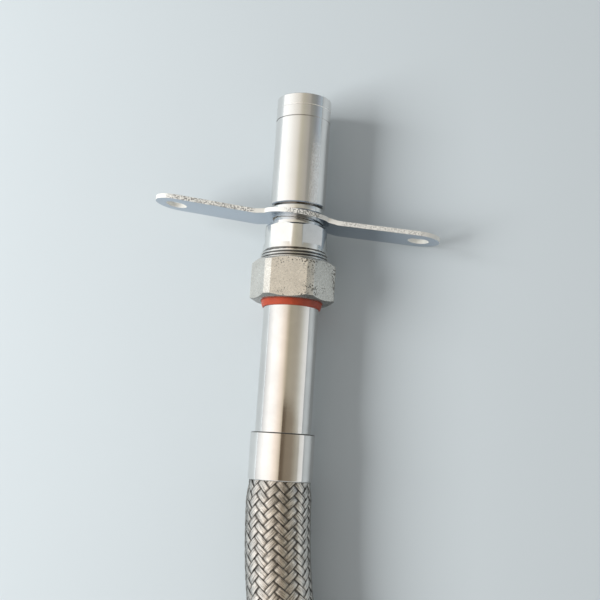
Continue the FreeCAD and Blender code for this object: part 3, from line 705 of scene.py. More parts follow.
def zinc_nut(end, name):
    """A nut: dull speckled zinc with small dark pits, most of them on its turned corners, and painted shade
    on the chamfer that faces the hose.
    """
    colour = finishes().nut
    corner_radius = (0.0206, 0.0216)
    material, tree, shader = start_material(name)
    place = object_coordinates(tree)
    radius = axis_readings(tree, end)[1]
    # How far each face turns towards the hose; this picks out where the painted shade goes.
    chamfer = vector_maths(tree, "DOT_PRODUCT", reading(tree, "Normal"), end.inward)["Value"]
    clouds = noise(tree, place, 150.0, 4.0, 0.6)
    speckle = noise(tree, place, 1250.0, 3.0, 0.7)
    flecks = noise(tree, place, 620.0, 3.0, 0.7)
    pits = add_node(tree, "ShaderNodeTexVoronoi", {"Vector": place, "Scale": 900.0, "Randomness": 1.0})
    right_hand = ranged(tree, parts_of(tree, place)["X"], 0.0, 0.004)
    corner = product(tree, ranged(tree, radius, *corner_radius, 0.0, 0.22), right_hand)
    patches = ranged(tree, noise(tree, place, 105.0, 2.0), 0.44, 0.64, 0.02, 0.30)
    pit_size = maths(tree, "ADD", patches, corner)
    pit = ranged(tree, maths(tree, "SUBTRACT", pits.outputs["Distance"], pit_size), 0.02, -0.10)
    tint = varied(tree, ranged(tree, clouds, 0.3, 0.7), colour, 0.90, 1.06)
    tint = mixed(tree, ranged(tree, speckle, 0.52, 0.66, 0.0, 0.5), tint, shaded(colour, 0.5))
    tint = mixed(tree, ranged(tree, flecks, 0.58, 0.72, 0.0, 0.6), tint, shaded(colour, 1.3))
    tint = mixed(tree, product(tree, pit, 0.9), tint, finishes().pits)
    # Painted shade on the faces that turn towards the hose, the chamfer's underside.
    tint = mixed(tree, ranged(tree, chamfer, 0.55, 0.75, 0.0, 0.75), tint, shaded(colour, 0.22))
    grain = maths(tree, "ADD", product(tree, speckle, 0.30), product(tree, flecks, 0.25))
    set_sockets(tree, shader, {
        "Base Color": tint, "Metallic": 0.85, "Roughness": ranged(tree, speckle, 0.3, 0.75, 0.20, 0.40),
        "Normal": bumped(tree, maths(tree, "SUBTRACT", grain, pit), 0.00008)})
    return material


def isolation_plastic():
    """The orange-red rings: moulded plastic with a soft gloss."""
    material, tree, shader = start_material("isolation_plastic")
    place = object_coordinates(tree)
    clouds = noise(tree, place, 260.0, 3.0, 0.6)
    grain = noise(tree, place, 2400.0, 2.0)
    set_sockets(tree, shader, {
        "Base Color": varied(tree, ranged(tree, clouds, 0.3, 0.7), finishes().plastic, 0.86, 1.12),
        "Roughness": ranged(tree, clouds, 0.3, 0.7, 0.30, 0.46),
        "Subsurface Weight": 0.12, "Subsurface Scale": 0.001,
        "Normal": bumped(tree, grain, 0.00002)})
    return material


def gasket_rubber():
    """The gaskets: dull black rubber."""
    material, tree, shader = start_material("gasket_rubber")
    grain = noise(tree, object_coordinates(tree), 1800.0, 3.0)
    set_sockets(tree, shader, {
        "Base Color": varied(tree, grain, finishes().rubber, 0.7, 1.5),
        "Roughness": ranged(tree, grain, 0.3, 0.7, 0.6, 0.8),
        "Normal": bumped(tree, grain, 0.00003)})
    return material


def satin_stainless(end, name, shaded_rims=()):
    """The end tubes and ferrules: satin, with faint lines round them and painted shade at their rims.

    Each rim is its station and its radius.
    """
    colour = finishes().satin
    material, tree, shader = start_material(name)
    lines = noise(tree, object_coordinates(tree, along_axis(end, 3000.0, 60.0)), 1.0, 3.0, 0.65)
    clouds = noise(tree, object_coordinates(tree), 75.0, 3.0, 0.55)
    marks = noise(tree, object_coordinates(tree, along_axis(end, 120.0, 700.0)), 1.0, 3.0, 0.6)
    tint = varied(tree, ranged(tree, clouds, 0.3, 0.7), colour, 0.93, 1.05)
    tint = mixed(tree, ranged(tree, marks, 0.62, 0.80, 0.0, 0.25), tint, shaded(colour, 0.7))
    along, radius = axis_readings(tree, end)
    for rim, outside in shaded_rims:
        # Painted shade in a thin band at each rim, on the outer wall, where the rim steps down to the next
        # piece.
        rim_shade = product(tree, band_at(tree, along, rim, 0.0005, 0.0002),
                        ranged(tree, radius, outside - 0.0006, outside - 0.0002, 0.3, 1.0))
        tint = mixed(tree, rim_shade, tint, finishes().shade_paint)
    height = maths(tree, "ADD", lines, product(tree, marks, 0.5))
    set_sockets(tree, shader, {
        "Base Color": tint, "Metallic": 1.0, "Roughness": ranged(tree, clouds, 0.3, 0.75, 0.07, 0.12),
        "Normal": bumped(tree, height, 0.000006)})
    return material


def bellows_steel():
    """The bellows: painted dark as shade, since it is seen only through the braid's gaps."""
    material, tree, shader = start_material("bellows_steel")
    clouds = noise(tree, object_coordinates(tree), 300.0, 3.0)
    # Near-black base colour: painted shade seen through the braid's gaps.
    set_sockets(tree, shader, {
        "Base Color": varied(tree, clouds, finishes().bellows, 0.7, 1.3), "Metallic": 0.8,
        "Roughness": ranged(tree, clouds, 0.3, 0.7, 0.45, 0.6)})
    return material


def braid_wire():
    """The braid's wires, bright along each one, with painted shade in the valleys between them.

    A strand gets painted shade along its edges, weaker in patches, and where it dips under the other lay.
    The normals lean across each wire, so that a flat face shades as a round wire does.
    """
    colour = finishes().wire
    material, tree, shader = start_material("braid_wire")
    place = add_node(tree, "ShaderNodeUVMap", uv_map="wires").outputs["UV"]
    crossing = add_node(tree, "ShaderNodeUVMap", uv_map="lift").outputs["UV"]
    across = parts_of(tree, place)["X"]
    lift = parts_of(tree, crossing)["X"]
    in_wires = product(tree, across, float(sizes().wires_per_strand))
    from_wire = maths(tree, "SUBTRACT", maths(tree, "FRACT", in_wires), 0.5)
    valley = maths(tree, "ABSOLUTE", from_wire)
    from_middle = apart(tree, across, 0.5)
    stretch = add_node(tree, "ShaderNodeMapping", {"Vector": place, "Scale": (5.0, 0.35, 1.0)})
    streaks = noise(tree, stretch.outputs["Vector"], 1.0, 3.0, 0.6)
    clouds = noise(tree, object_coordinates(tree), 420.0, 3.0, 0.6)
    patches = noise(tree, object_coordinates(tree), 190.0, 2.0, 0.6)
    # Painted shade in the valleys between the wires.
    tint = mixed(tree, ranged(tree, valley, 0.30, 0.50, 0.0, 0.7), colour, shaded(colour, 0.26))
    tint = mixed(tree, ranged(tree, streaks, 0.46, 0.64, 0.0, 0.9), tint, shaded(colour, 0.34))
    tint = mixed(tree, ranged(tree, clouds, 0.52, 0.72, 0.0, 0.45), tint, shaded(colour, 1.4))
    # Painted shade along each strand's edges, weaker in patches, and where it dips under the other lay.
    edges = product(tree, ranged(tree, from_middle, 0.43, 0.465, 0.0, 0.95),
                    ranged(tree, patches, 0.42, 0.58, 1.0, 0.35))
    dark = maths(tree, "MAXIMUM", edges, ranged(tree, lift, 0.84, 0.56, 0.0, 0.85))
    lean = product(tree, from_wire, 0.8)
    upright = maths(tree, "SQRT", maths(tree, "SUBTRACT", 1.0, product(tree, lean, lean)))
    tilt = add_node(tree, "ShaderNodeCombineXYZ", {
        "X": maths(tree, "ADD", product(tree, lean, 0.5), 0.5), "Y": 0.5,
        "Z": maths(tree, "ADD", product(tree, upright, 0.5), 0.5)})
    rounded = add_node(tree, "ShaderNodeNormalMap", {"Color": tilt.outputs["Vector"]}, uv_map="wires")
    set_sockets(tree, shader, {
        "Base Color": mixed(tree, dark, tint, finishes().shade_paint), "Metallic": 1.0,
        "Roughness": ranged(tree, streaks, 0.3, 0.7, 0.15, 0.26),
        "Normal": rounded.outputs["Normal"]})
    return material


# The hose's route

class Route:
    """Points along the free hose, evenly read, with a level side and an upright for each."""

    def __init__(self, points):
        self.points = points
        self.lengths = [0.0]
        for before, after in zip(points, points[1:]):
            self.lengths.append(self.lengths[-1] + (after - before).length)
        self.length = self.lengths[-1]
        self.step = self.length / (8 * len(points))
        self.rows = [self.row_at(i * self.step) for i in range(8 * len(points) + 1)]

    def row_at(self, distance):
        """Place and way at a distance from the start."""
        last = len(self.points) - 2
        i = min(max(bisect_right(self.lengths, distance) - 1, 0), last)
        span = self.lengths[i + 1] - self.lengths[i]
        share = (distance - self.lengths[i]) / span
        place = self.points[i].lerp(self.points[i + 1], share)
        return place, self.way_at(i, share)

    def way_at(self, i, share):
        """Direction of travel, turned evenly from one run of the route to the next."""
        last = len(self.points) - 2
        here = (self.points[i + 1] - self.points[i]).normalized()
        before = (self.points[i] - self.points[i - 1]).normalized() if i > 0 else here
        after = (self.points[i + 2] - self.points[i + 1]).normalized() if i < last else here
        return (before + here).lerp(here + after, share).normalized()

    def at(self, distance):
        """Place, side and upright at a distance from the start, run on straight past both ends."""
        spot = min(max(distance, 0.0), self.length)
        index = min(int(spot / self.step), len(self.rows) - 2)
        share = spot / self.step - index
        place, way = self.rows[index]
        next_place, next_way = self.rows[index + 1]
        way = way.lerp(next_way, share).normalized()
        side = way.cross(Vector((0.0, 0.0, 1.0))).normalized()
        return place.lerp(next_place, share) + way * (distance - spot), side, side.cross(way)


def hose_route():
    """The route's smooth line, read from a NURBS spline whose control points are the route's."""
    start = OUTLET.mouth + OUTLET.inward * station(OUTLET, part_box("outlet_ferrule")[0])
    curve = bpy.data.curves.new("hose_route", "CURVE")
    curve.dimensions = "3D"
    spline = curve.splines.new("NURBS")
    spline.points.add(len(ROUTE) - 1)
    for point, place in zip(spline.points, ROUTE):
        point.co = (*(start + place), 1.0)
    spline.order_u = 3
    spline.use_endpoint_u = True
    spline.resolution_u = 24
    holder = bpy.data.objects.new("hose_route", curve)
    bpy.context.scene.collection.objects.link(holder)
    line = bpy.data.meshes.new_from_object(holder)
    points = [vert.co.copy() for vert in line.vertices]
    bpy.data.objects.remove(holder)
    bpy.data.meshes.remove(line)
    bpy.data.curves.remove(curve)
    return Route(points)


def smooth_step(share):
    """0 to 1 with level ends."""
    share = min(max(share, 0.0), 1.0)
    return share * share * (3.0 - 2.0 * share)


def braid_radius_at(route, distance):
    """Mean radius of the weave, drawn in where the ferrules grip it."""
    s = sizes()
    from_end = min(distance, route.length - distance)
    share = smooth_step(from_end / s.braid_flare)
    return s.braid_end_radius + (s.braid_radius - s.braid_end_radius) * share


def strand_section():
    """Corners of a strand's section: places across it from -0.5 to 0.5, and heights."""
    s = sizes()
    section = []
    for i in range(2 * s.wires_per_strand + 1):
        across = i / (2 * s.wires_per_strand) - 0.5
        crown = -s.strand_crown * (2 * across) ** 2
        section.append((across, crown + (s.wire_height if i % 2 else 0.0)))
    edge = -s.strand_crown - s.strand_thickness
    return section + [(0.45, edge), (-0.45, edge)]


def weave(turn):
    """Over (1) or under (-1) at a place in the weave's repeat of four crossings."""
    steep = 3.2
    return math.tanh(steep * math.sin(0.5 * math.pi * turn)) / math.tanh(steep)


def strand_points(route, number, lay, section):
    """Rows of points of one strand, and how far over (1) or under (0) the other lay each one is.

    lay is 1 or -1, the way that the strand winds round the hose. Each strand sways a little, and
    not in step with the others.
    """
    s = sizes()
    spacing = 2 * math.pi / s.strands_each_way
    winding = 1.0 / s.braid_radius
    rows = round((route.length + 2 * s.braid_in_ferrule) / s.braid_step)
    unevenness = 0.00004
    sway_rate = 90.0
    sway_offset = 2.4
    slant = math.sqrt(0.5)
    points = []
    lifts = []
    for row in range(rows + 1):
        middle = -s.braid_in_ferrule + (route.length + 2 * s.braid_in_ferrule) * row / rows
        sway = unevenness * math.sin(middle * sway_rate + number * sway_offset + lay)
        for across, height in section:
            shift = (across * s.strand_width + sway) * slant
            distance = middle - lay * shift
            turn = lay * (number * spacing + (middle + s.braid_slide) * winding) + shift * winding
            other = (turn + lay * (distance + s.braid_slide) * winding) / spacing
            over = lay * weave(other + lay * number + 0.5)
            radius = braid_radius_at(route, distance) + s.weave_depth * over + height
            place, side, upright = route.at(distance)
            points.append(place + (upright * math.cos(turn) + side * math.sin(turn)) * radius)
            lifts.append(0.5 + 0.5 * over)
    return points, lifts


def make_lay(route, lay, name, material):
    """Every strand that winds one way, as one mesh of closed flat bundles with ridged wires.

    Its map "wires" runs across each strand and along it, and its map "lift" says how far over the
    other lay each point is.
    """
    s = sizes()
    section = strand_section()
    width = len(section)
    streak_scale = 400.0
    strand_offset = 3.7
    verts = []
    faces = []
    places = []
    heights = []
    for number in range(s.strands_each_way):
        points, lifts = strand_points(route, number, lay, section)
        heights += lifts
        base = len(verts)
        rows = len(points) // width
        verts += points
        for row in range(rows - 1):
            for i in range(width):
                j = (i + 1) % width
                here = base + row * width
                faces.append((here + i, here + j, here + width + j, here + width + i))
        faces.append(tuple(base + i for i in range(width)))
        faces.append(tuple(base + (rows - 1) * width + i for i in range(width)))
        places += [(section[i % width][0] + 0.5,
                    (i // width) * s.braid_step * streak_scale + number * strand_offset)
                   for i in range(len(points))]
    mesh = closed_mesh(name, verts, faces)
    wires = mesh.uv_layers.new(name="wires")
    for loop in mesh.loops:
        wires.data[loop.index].uv = places[loop.vertex_index]
    lift = mesh.uv_layers.new(name="lift")
    for loop in mesh.loops:
        lift.data[loop.index].uv = (heights[loop.vertex_index], 0.5)
    piece = add_object(name, mesh, material)
    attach(piece, BODY_OF["wire_braid"])
    return piece


def make_bellows(route, material):
    """The corrugated hose under the braid, as rings of points that swell at each crest."""
    s = sizes()
    columns = 36
    rows_per_pitch = 6
    run_in = 0.015
    length = route.length + 2 * run_in
    rows = round(length / s.bellows_pitch * rows_per_pitch)
    verts = []
    faces = []
    for row in range(rows + 1):
        distance = -run_in + length * row / rows
        place, side, upright = route.at(distance)
        swell = 0.5 - 0.5 * math.cos(2 * math.pi * distance / s.bellows_pitch)
        radius = s.bellows_radius - s.bellows_depth * swell
        for column in range(columns):
            turn = 2 * math.pi * column / columns
            verts.append(place + (upright * math.cos(turn) + side * math.sin(turn)) * radius)
    for row in range(rows):
        for column in range(columns):
            here = row * columns
            following = (column + 1) % columns
            faces.append((here + column, here + following, here + columns + following,
                          here + columns + column))
    faces.append(tuple(range(columns)))
    faces.append(tuple(rows * columns + column for column in range(columns)))
    mesh = closed_mesh("bellows", verts, faces)
    for face in mesh.polygons:
        face.use_smooth = len(face.vertices) == 4
    piece = add_object("bellows", mesh, material)
    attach(piece, BODY_OF["corrugated_hose"])
    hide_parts("corrugated_hose")
    return piece


# Operators, one for each piece or group of like pieces

class SPRINKLER_OT_outlet_tube(bpy.types.Operator):
    """Makes the polished outlet tube, with its pipe thread in the mouth"""
    bl_idname = "sprinkler.outlet_tube"
    bl_label = "Outlet Tube"

    def execute(self, context):
        s = context.scene.hose_sizes
        thread = [m for m in frame["record"]["mounts"] if m["name"] == "outlet_thread"][0]["dims"]
        crest = thread["r_mm"] / 1000
        depth = thread["length_mm"] / 1000
        root = crest + s.outlet_depth
        countersink = 0.0009
        bm = welded_copy("outlet_tube")
        for vert in bm.verts:
            radius = off_axis(OUTLET, vert.co).length
            near_mouth = station(OUTLET, vert.co) < depth + WELD_DISTANCE
            if near_mouth and crest - 3 * HAIRLINE < radius < crest + HAIRLINE:
                set_radius(OUTLET, vert, root)
        mouth = [edge for edge in bm.edges
                 if all(station(OUTLET, v.co) < WELD_DISTANCE for v in edge.verts)
                 and all(off_axis(OUTLET, v.co).length < root + HAIRLINE for v in edge.verts)]
        bmesh.ops.bevel(bm, geom=mouth, offset=countersink, segments=1, profile=0.5, affect="EDGES",
                        material=-1)
        soften(bm, s.edge_softening)
        wind_thread(bm, OUTLET, countersink, depth, s.outlet_pitch, root, crest, lambda along: crest)
        finish_piece(bm, "outlet_sleeve", polished_steel(), "outlet_tube")
        return {"FINISHED"}


class SPRINKLER_OT_lock_ring(bpy.types.Operator):
    """Makes the thin lock ring on the neck"""
    bl_idname = "sprinkler.lock_ring"
    bl_label = "Lock Ring"

    def execute(self, context):
        dress("lock_ring", "neck_ring", context.scene.hose_sizes.edge_softening,
              plated_steel(OUTLET, "plated_ring"))
        return {"FINISHED"}


class SPRINKLER_OT_bracket(bpy.types.Operator):
    """Makes the loose two-eared bracket"""
    bl_idname = "sprinkler.bracket"
    bl_label = "Mounting Bracket"

    def execute(self, context):
        dress("mounting_bracket", "eared_bracket", context.scene.hose_sizes.edge_softening, zinc_sheet())
        return {"FINISHED"}


class SPRINKLER_OT_nipples(bpy.types.Operator):
    """Makes the outlet's and the inlet's nipple, with their threads"""
    bl_idname = "sprinkler.nipples"
    bl_label = "Nipples"

    def execute(self, context):
        s = context.scene.hose_sizes
        union_root = s.union_crest - s.union_depth
        inlet_root = s.inlet_crest - s.inlet_depth
        for end, node, nut in ((OUTLET, "outlet_nipple", "outlet_union_nut"),
                               (INLET, "inlet_nipple", "inlet_union_nut")):
            nipple_end = node_stop(end, node)
            thread_start = node_start(end, nut) - s.union_showing
            bm = welded_copy(node)
            for vert in bm.verts:
                along = station(end, vert.co)
                radius = off_axis(end, vert.co).length
                if along > thread_start + 2 * HAIRLINE and radius > union_root:
                    set_radius(end, vert, union_root)
                if end is INLET and along < s.inlet_length + HAIRLINE and radius > inlet_root:
                    set_radius(end, vert, inlet_root)
            soften(bm, s.edge_softening)

            def union_limit(along, last=nipple_end):
                return s.union_crest - max(along - (last - s.union_chamfer), 0.0)

            wind_thread(bm, end, thread_start + HAIRLINE, nipple_end - HAIRLINE, s.union_pitch,
                        union_root, s.union_crest, union_limit)
            threads = [(thread_start, nipple_end, union_root, s.union_crest)]
            if end is OUTLET:
                # The gap behind the outlet tube gets painted shade, as the thread roots do.
                threads.append(self.shaded_neck_gap())
            if end is INLET:
                self.wind_pipe_thread(bm, s, inlet_root)
                threads.append((0.0, s.inlet_length, inlet_root, s.inlet_crest))
            finish_piece(bm, node.replace("nipple", "fitting"),
                         plated_steel(end, "plated_" + node, threads), node)
        return {"FINISHED"}

    def shaded_neck_gap(self):
        """The gap behind the outlet tube, given painted shade as a thread's root is, from the neck to the
        tube's wall.
        """
        tube_end = node_stop(OUTLET, "outlet_tube")
        gap_width = 0.0008
        neck_radius = 0.0121
        tube_radius = 0.0145
        return tube_end - 2 * HAIRLINE, tube_end + gap_width, neck_radius, tube_radius

    def wind_pipe_thread(self, bm, s, root):
        """The one-inch thread on the inlet, thinner towards its mouth as a taper thread is."""
        taper = 1.0 / 32.0

        def pipe_limit(along):
            tapered = s.inlet_crest - (s.inlet_length - along) * taper
            return min(tapered, s.inlet_crest - s.inlet_chamfer + along)

        wind_thread(bm, INLET, 2 * HAIRLINE, s.inlet_length + 4 * HAIRLINE, s.inlet_pitch, root,
                    s.inlet_crest, pipe_limit)


class SPRINKLER_OT_union_nuts(bpy.types.Operator):
    """Makes both union nuts, with worn and pitted zinc"""
    bl_idname = "sprinkler.union_nuts"
    bl_label = "Union Nuts"

    def execute(self, context):
        for end, node in ((OUTLET, "outlet_union_nut"), (INLET, "inlet_union_nut")):
            dress(node, node.replace("union_nut", "hex_nut"), context.scene.hose_sizes.nut_softening,
                  zinc_nut(end, "zinc_" + node))
        return {"FINISHED"}


class SPRINKLER_OT_isolation_rings(bpy.types.Operator):
    """Makes both orange-red isolation rings"""
    bl_idname = "sprinkler.isolation_rings"
    bl_label = "Isolation Rings"

    def execute(self, context):
        material = isolation_plastic()
        for node in ("outlet_isolation_ring", "inlet_isolation_ring"):
            dress(node, node.replace("isolation", "plastic"), context.scene.hose_sizes.ring_softening,
                  material)
        return {"FINISHED"}


class SPRINKLER_OT_gaskets(bpy.types.Operator):
    """Makes both gaskets, inside the unions"""
    bl_idname = "sprinkler.gaskets"
    bl_label = "Gaskets"

    def execute(self, context):
        material = gasket_rubber()
        for node in ("outlet_gasket", "inlet_gasket"):
            dress(node, node.replace("gasket", "seal"), context.scene.hose_sizes.ring_softening, material)
        return {"FINISHED"}


class SPRINKLER_OT_end_tubes(bpy.types.Operator):
    """Makes the satin end tube at each end"""
    bl_idname = "sprinkler.end_tubes"
    bl_label = "End Tubes"

    def execute(self, context):
        for end, node in ((OUTLET, "outlet_end_tube"), (INLET, "inlet_end_tube")):
            dress(node, node.replace("end_tube", "satin_tube"), context.scene.hose_sizes.edge_softening,
                  satin_stainless(end, "satin_" + node))
        return {"FINISHED"}


class SPRINKLER_OT_ferrules(bpy.types.Operator):
    """Makes the ferrule at each end, which grips the braid"""
    bl_idname = "sprinkler.ferrules"
    bl_label = "Ferrules"

    def execute(self, context):
        for end, node in ((OUTLET, "outlet_ferrule"), (INLET, "inlet_ferrule")):
            outside = max(off_axis(end, vert.co).length for vert in NODES[node].data.vertices)
            # Each ferrule's open rim gets a band of painted shade.
            shaded_rims = ((node_start(end, node), outside),)
            dress(node, node.replace("ferrule", "band"), context.scene.hose_sizes.edge_softening,
                  satin_stainless(end, "satin_" + node, shaded_rims))
        return {"FINISHED"}


class SPRINKLER_OT_hose(bpy.types.Operator):
    """Makes the free hose: the bellows and the two lays of the wire braid over it"""
    bl_idname = "sprinkler.hose"
    bl_label = "Braided Hose"

    def execute(self, context):
        route = hose_route()
        bellows = make_bellows(route, bellows_steel())
        wire = braid_wire()
        right_lay = make_lay(route, 1, "braid_right_lay", wire)
        left_lay = make_lay(route, -1, "braid_left_lay", wire)
        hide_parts("wire_braid")
        return {"FINISHED"}


class SPRINKLER_OT_stage(bpy.types.Operator):
    """Makes the plain floor, the soft light and the photograph's camera"""
    bl_idname = "sprinkler.stage"
    bl_label = "Stage"

    def execute(self, context):
        stage = context.scene.hose_stage
        self.make_floor(stage)
        self.make_lamp("window_lamp", stage.key_power, size=(0.9, 0.7), place=(-1.10, -0.20, 0.80),
                       target=(0.0, -0.15, 0.0))
        self.make_arch(stage)
        self.make_dull_card()
        self.make_world(stage)
        self.make_camera(stage)
        return {"FINISHED"}

    def make_floor(self, stage):
        """A plain pale sheet under the hose."""
        bm = bmesh.new()
        bmesh.ops.create_grid(bm, x_segments=1, y_segments=1, size=stage.floor_size / 2)
        bmesh.ops.translate(bm, verts=bm.verts, vec=(0.0, 0.0, CAD_BOX[0][2]))
        material, tree, shader = start_material("floor_paint")
        clouds = noise(tree, object_coordinates(tree), 6.0, 3.0)
        set_sockets(tree, shader, {
            "Base Color": varied(tree, clouds, stage.floor_colour, 0.98, 1.02), "Roughness": 0.65,
            "Specular IOR Level": 0.25})
        floor = add_object("floor", mesh_of(bm, "floor"), material)

    def make_lamp(self, name, power, size, place, target):
        """A soft rectangular lamp that faces a target. Metal reflects the arch in its stead."""
        lamp = bpy.data.lights.new(name, "AREA")
        lamp.shape = "RECTANGLE"
        lamp.size, lamp.size_y = size
        lamp.energy = power
        holder = bpy.data.objects.new(name, lamp)
        holder.location = place
        holder.rotation_euler = (Vector(target) - Vector(place)).to_track_quat("-Z", "Y").to_euler()
        holder.visible_glossy = False
        bpy.context.scene.collection.objects.link(holder)

    def make_reflected(self, name, bm, colour_of):
        """A glowing card that only reflections see. colour_of gives its colour from its node tree."""
        material = bpy.data.materials.new(name)
        material.use_nodes = True
        tree = material.node_tree
        tree.nodes.clear()
        glow = add_node(tree, "ShaderNodeEmission", {"Color": opaque(colour_of(tree)), "Strength": 1.0})
        add_node(tree, "ShaderNodeOutputMaterial", {"Surface": glow.outputs["Emission"]})
        card = add_object(name, mesh_of(bm, name), material)
        card.visible_camera = False
        card.visible_diffuse = False
        card.visible_shadow = False

    def make_arch(self, stage):
        """An arch along the outlet's axis: a bright window side, a dull ceiling and a wall.

        Each stop is an angle from straight up towards +X, its colour over the hose and its colour
        past the outlet's mouth, where the wall is darker. The arch dims far past the mouth, and
        brightens far behind the ferrule.
        """
        stops = (
            (-90, (0.88, 0.89, 0.90), (1.30, 1.33, 1.35)), (-72, (1.22, 1.22, 1.20), (1.38, 1.40, 1.38)),
            (-58, (1.42, 1.40, 1.37), (1.30, 1.31, 1.29)),
            (-45, (1.42, 1.38, 1.34), (1.22, 1.22, 1.18)), (-30, (1.34, 1.26, 1.17), (1.06, 1.03, 0.97)),
            (-20, (1.22, 1.08, 0.95), (0.95, 0.92, 0.85)), (-10, (1.04, 0.90, 0.76), (0.84, 0.80, 0.72)),
            (0, (0.69, 0.59, 0.46), (0.64, 0.60, 0.50)), (8, (0.46, 0.41, 0.31), (0.55, 0.52, 0.43)),
            (33, (0.45, 0.41, 0.33), (0.45, 0.43, 0.39)),
            (38, (0.45, 0.41, 0.33), (0.34, 0.33, 0.30)), (50, (0.50, 0.47, 0.40), (0.30, 0.31, 0.29)),
            (62, (0.64, 0.63, 0.57), (0.28, 0.30, 0.31)), (75, (0.84, 0.84, 0.81), (0.38, 0.42, 0.47)),
            (90, (0.95, 0.96, 0.95), (0.44, 0.54, 0.60)),
        )
        mouth_side = (0.05, 0.40)
        far_past = (0.6, 0.9, 1.0, 0.45)
        far_behind = (-0.6, -1.0, 1.0, 1.25)
        bm = bmesh.new()
        rim = [bm.verts.new((-stage.arch_radius, side * stage.arch_depth / 2, 0.0)) for side in (-1, 1)]
        bmesh.ops.spin(bm, geom=rim + [bm.edges.new(rim)], cent=(0.0, 0.0, 0.0), axis=(0.0, 1.0, 0.0),
                       angle=math.pi, steps=64, use_merge=False)

        def room_colour(tree):
            place = parts_of(tree, reading(tree, "Object"))
            angle = maths(tree, "ARCTAN2", place["X"], place["Z"])
            share = ranged(tree, angle, -math.pi / 2, math.pi / 2)
            near, far = [ramp(tree, share, [(stop[0] / 180 + 0.5, stop[side]) for stop in stops])
                         for side in (1, 2)]
            colour = mixed(tree, ranged(tree, place["Y"], *mouth_side), near, far)
            gain = product(tree, ranged(tree, place["Y"], *far_past), ranged(tree, place["Y"], *far_behind))
            return add_node(tree, "ShaderNodeVectorMath", {0: colour, "Scale": gain},
                            operation="SCALE").outputs["Vector"]

        self.make_reflected("room_arch", bm, room_colour)

    def make_dull_card(self):
        """A dull card above the ferrule and the braid, darkest along its edge over the outlet's axis."""
        low = Vector((0.015, -0.46, 0.48))
        high = Vector((1.35, -0.138, 0.48))
        stops = (
            (0.0, (0.15, 0.11, 0.075)), (0.06, (0.17, 0.13, 0.09)), (0.12, (0.27, 0.22, 0.16)),
            (0.3, (0.30, 0.25, 0.19)), (0.41, (0.37, 0.33, 0.26)), (0.59, (0.47, 0.44, 0.37)),
            (0.8, (0.50, 0.48, 0.42)), (1.0, (0.56, 0.55, 0.50)),
        )
        bm = bmesh.new()
        bmesh.ops.create_grid(bm, x_segments=1, y_segments=1, size=0.5)
        bmesh.ops.scale(bm, verts=bm.verts, vec=(high.x - low.x, high.y - low.y, 1.0))
        bmesh.ops.translate(bm, verts=bm.verts, vec=(low + high) / 2)

        def card_colour(tree):
            across = parts_of(tree, reading(tree, "Object"))["X"]
            return ramp(tree, ranged(tree, across, low.x, high.x), stops)

        self.make_reflected("camera_card", bm, card_colour)

    def make_world(self, stage):
        """Even light from all round, and a pale backdrop for the camera and for reflections."""
        world = bpy.data.worlds.new("soft_room")
        world.use_nodes = True
        tree = world.node_tree
        tree.nodes.clear()
        fill = add_node(tree, "ShaderNodeBackground", {
            "Color": (1.0, 1.0, 1.0, 1.0), "Strength": stage.fill_strength})
        backdrop = add_node(tree, "ShaderNodeBackground", {
            "Color": opaque(stage.backdrop_colour), "Strength": 1.0})
        ray = add_node(tree, "ShaderNodeLightPath")
        seen = maths(tree, "MAXIMUM", ray.outputs["Is Camera Ray"], ray.outputs["Is Glossy Ray"])
        seen = maths(tree, "MAXIMUM", seen, ray.outputs["Is Transmission Ray"])
        surface = add_node(tree, "ShaderNodeMixShader", {
            0: seen, 1: fill.outputs["Background"], 2: backdrop.outputs["Background"]})
        add_node(tree, "ShaderNodeOutputWorld", {"Surface": surface.outputs["Shader"]})
        bpy.context.scene.world = world
        bpy.context.scene.view_settings.view_transform = "Standard"

    def make_camera(self, stage):
        """The photograph's camera, almost straight above the outlet end."""
        lens = bpy.data.cameras.new("photo_camera")
        lens.sensor_width = 36.0
        lens.lens = stage.camera_lens
        lens.clip_start = 0.01
        camera = bpy.data.objects.new("photo_camera", lens)
        camera.location = stage.camera_place
        camera.rotation_euler = Euler(stage.camera_turn, "XYZ")
        bpy.context.scene.collection.objects.link(camera)
        bpy.context.scene.camera = camera


PIECE_OPERATORS = (
    SPRINKLER_OT_outlet_tube,
    SPRINKLER_OT_lock_ring,
    SPRINKLER_OT_bracket,
    SPRINKLER_OT_nipples,
    SPRINKLER_OT_union_nuts,
    SPRINKLER_OT_isolation_rings,
    SPRINKLER_OT_gaskets,
    SPRINKLER_OT_end_tubes,
    SPRINKLER_OT_ferrules,
    SPRINKLER_OT_hose,
    SPRINKLER_OT_stage,
)


class SPRINKLER_PT_pieces(bpy.types.Panel):
    """Lists the hose's pieces and their settings"""
    bl_idname = "SPRINKLER_PT_pieces"
    bl_label = "Sprinkler Hose"
    bl_space_type = "VIEW_3D"
    bl_region_type = "UI"
    bl_category = "Sprinkler Hose"

    def draw(self, context):
        for operator in PIECE_OPERATORS:
            self.layout.operator(operator.bl_idname)
        for group in ("hose_sizes", "hose_finishes", "hose_stage"):
            settings = getattr(context.scene, group)
            box = self.layout.box()
            for name in settings.bl_rna.properties.keys():
                if name not in ("rna_type", "name"):
                    box.prop(settings, name)


GROUPS = {"hose_sizes": HoseSizes, "hose_finishes": HoseFinishes, "hose_stage": HoseStage}


def register():
    for name, group in GROUPS.items():
        bpy.utils.register_class(group)
        setattr(bpy.types.Scene, name, PointerProperty(type=group))
    for operator in PIECE_OPERATORS:
        bpy.utils.register_class(operator)
    bpy.utils.register_class(SPRINKLER_PT_pieces)


def unregister():
    bpy.utils.unregister_class(SPRINKLER_PT_pieces)
    for operator in reversed(PIECE_OPERATORS):
        bpy.utils.unregister_class(operator)
    for name, group in reversed(GROUPS.items()):
        delattr(bpy.types.Scene, name)
        bpy.utils.unregister_class(group)


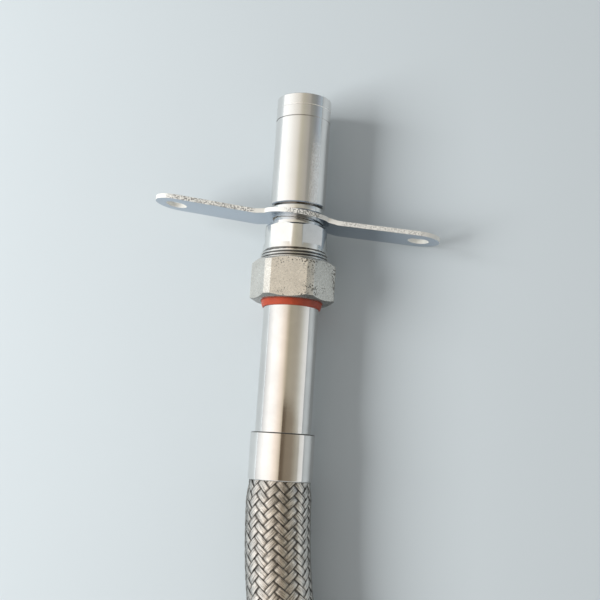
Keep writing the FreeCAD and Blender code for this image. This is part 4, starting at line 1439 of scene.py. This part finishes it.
def main():
    register()
    for operator in PIECE_OPERATORS:
        category, name = operator.bl_idname.split(".")
        getattr(getattr(bpy.ops, category), name)()


if __name__ == "__main__":
    main()
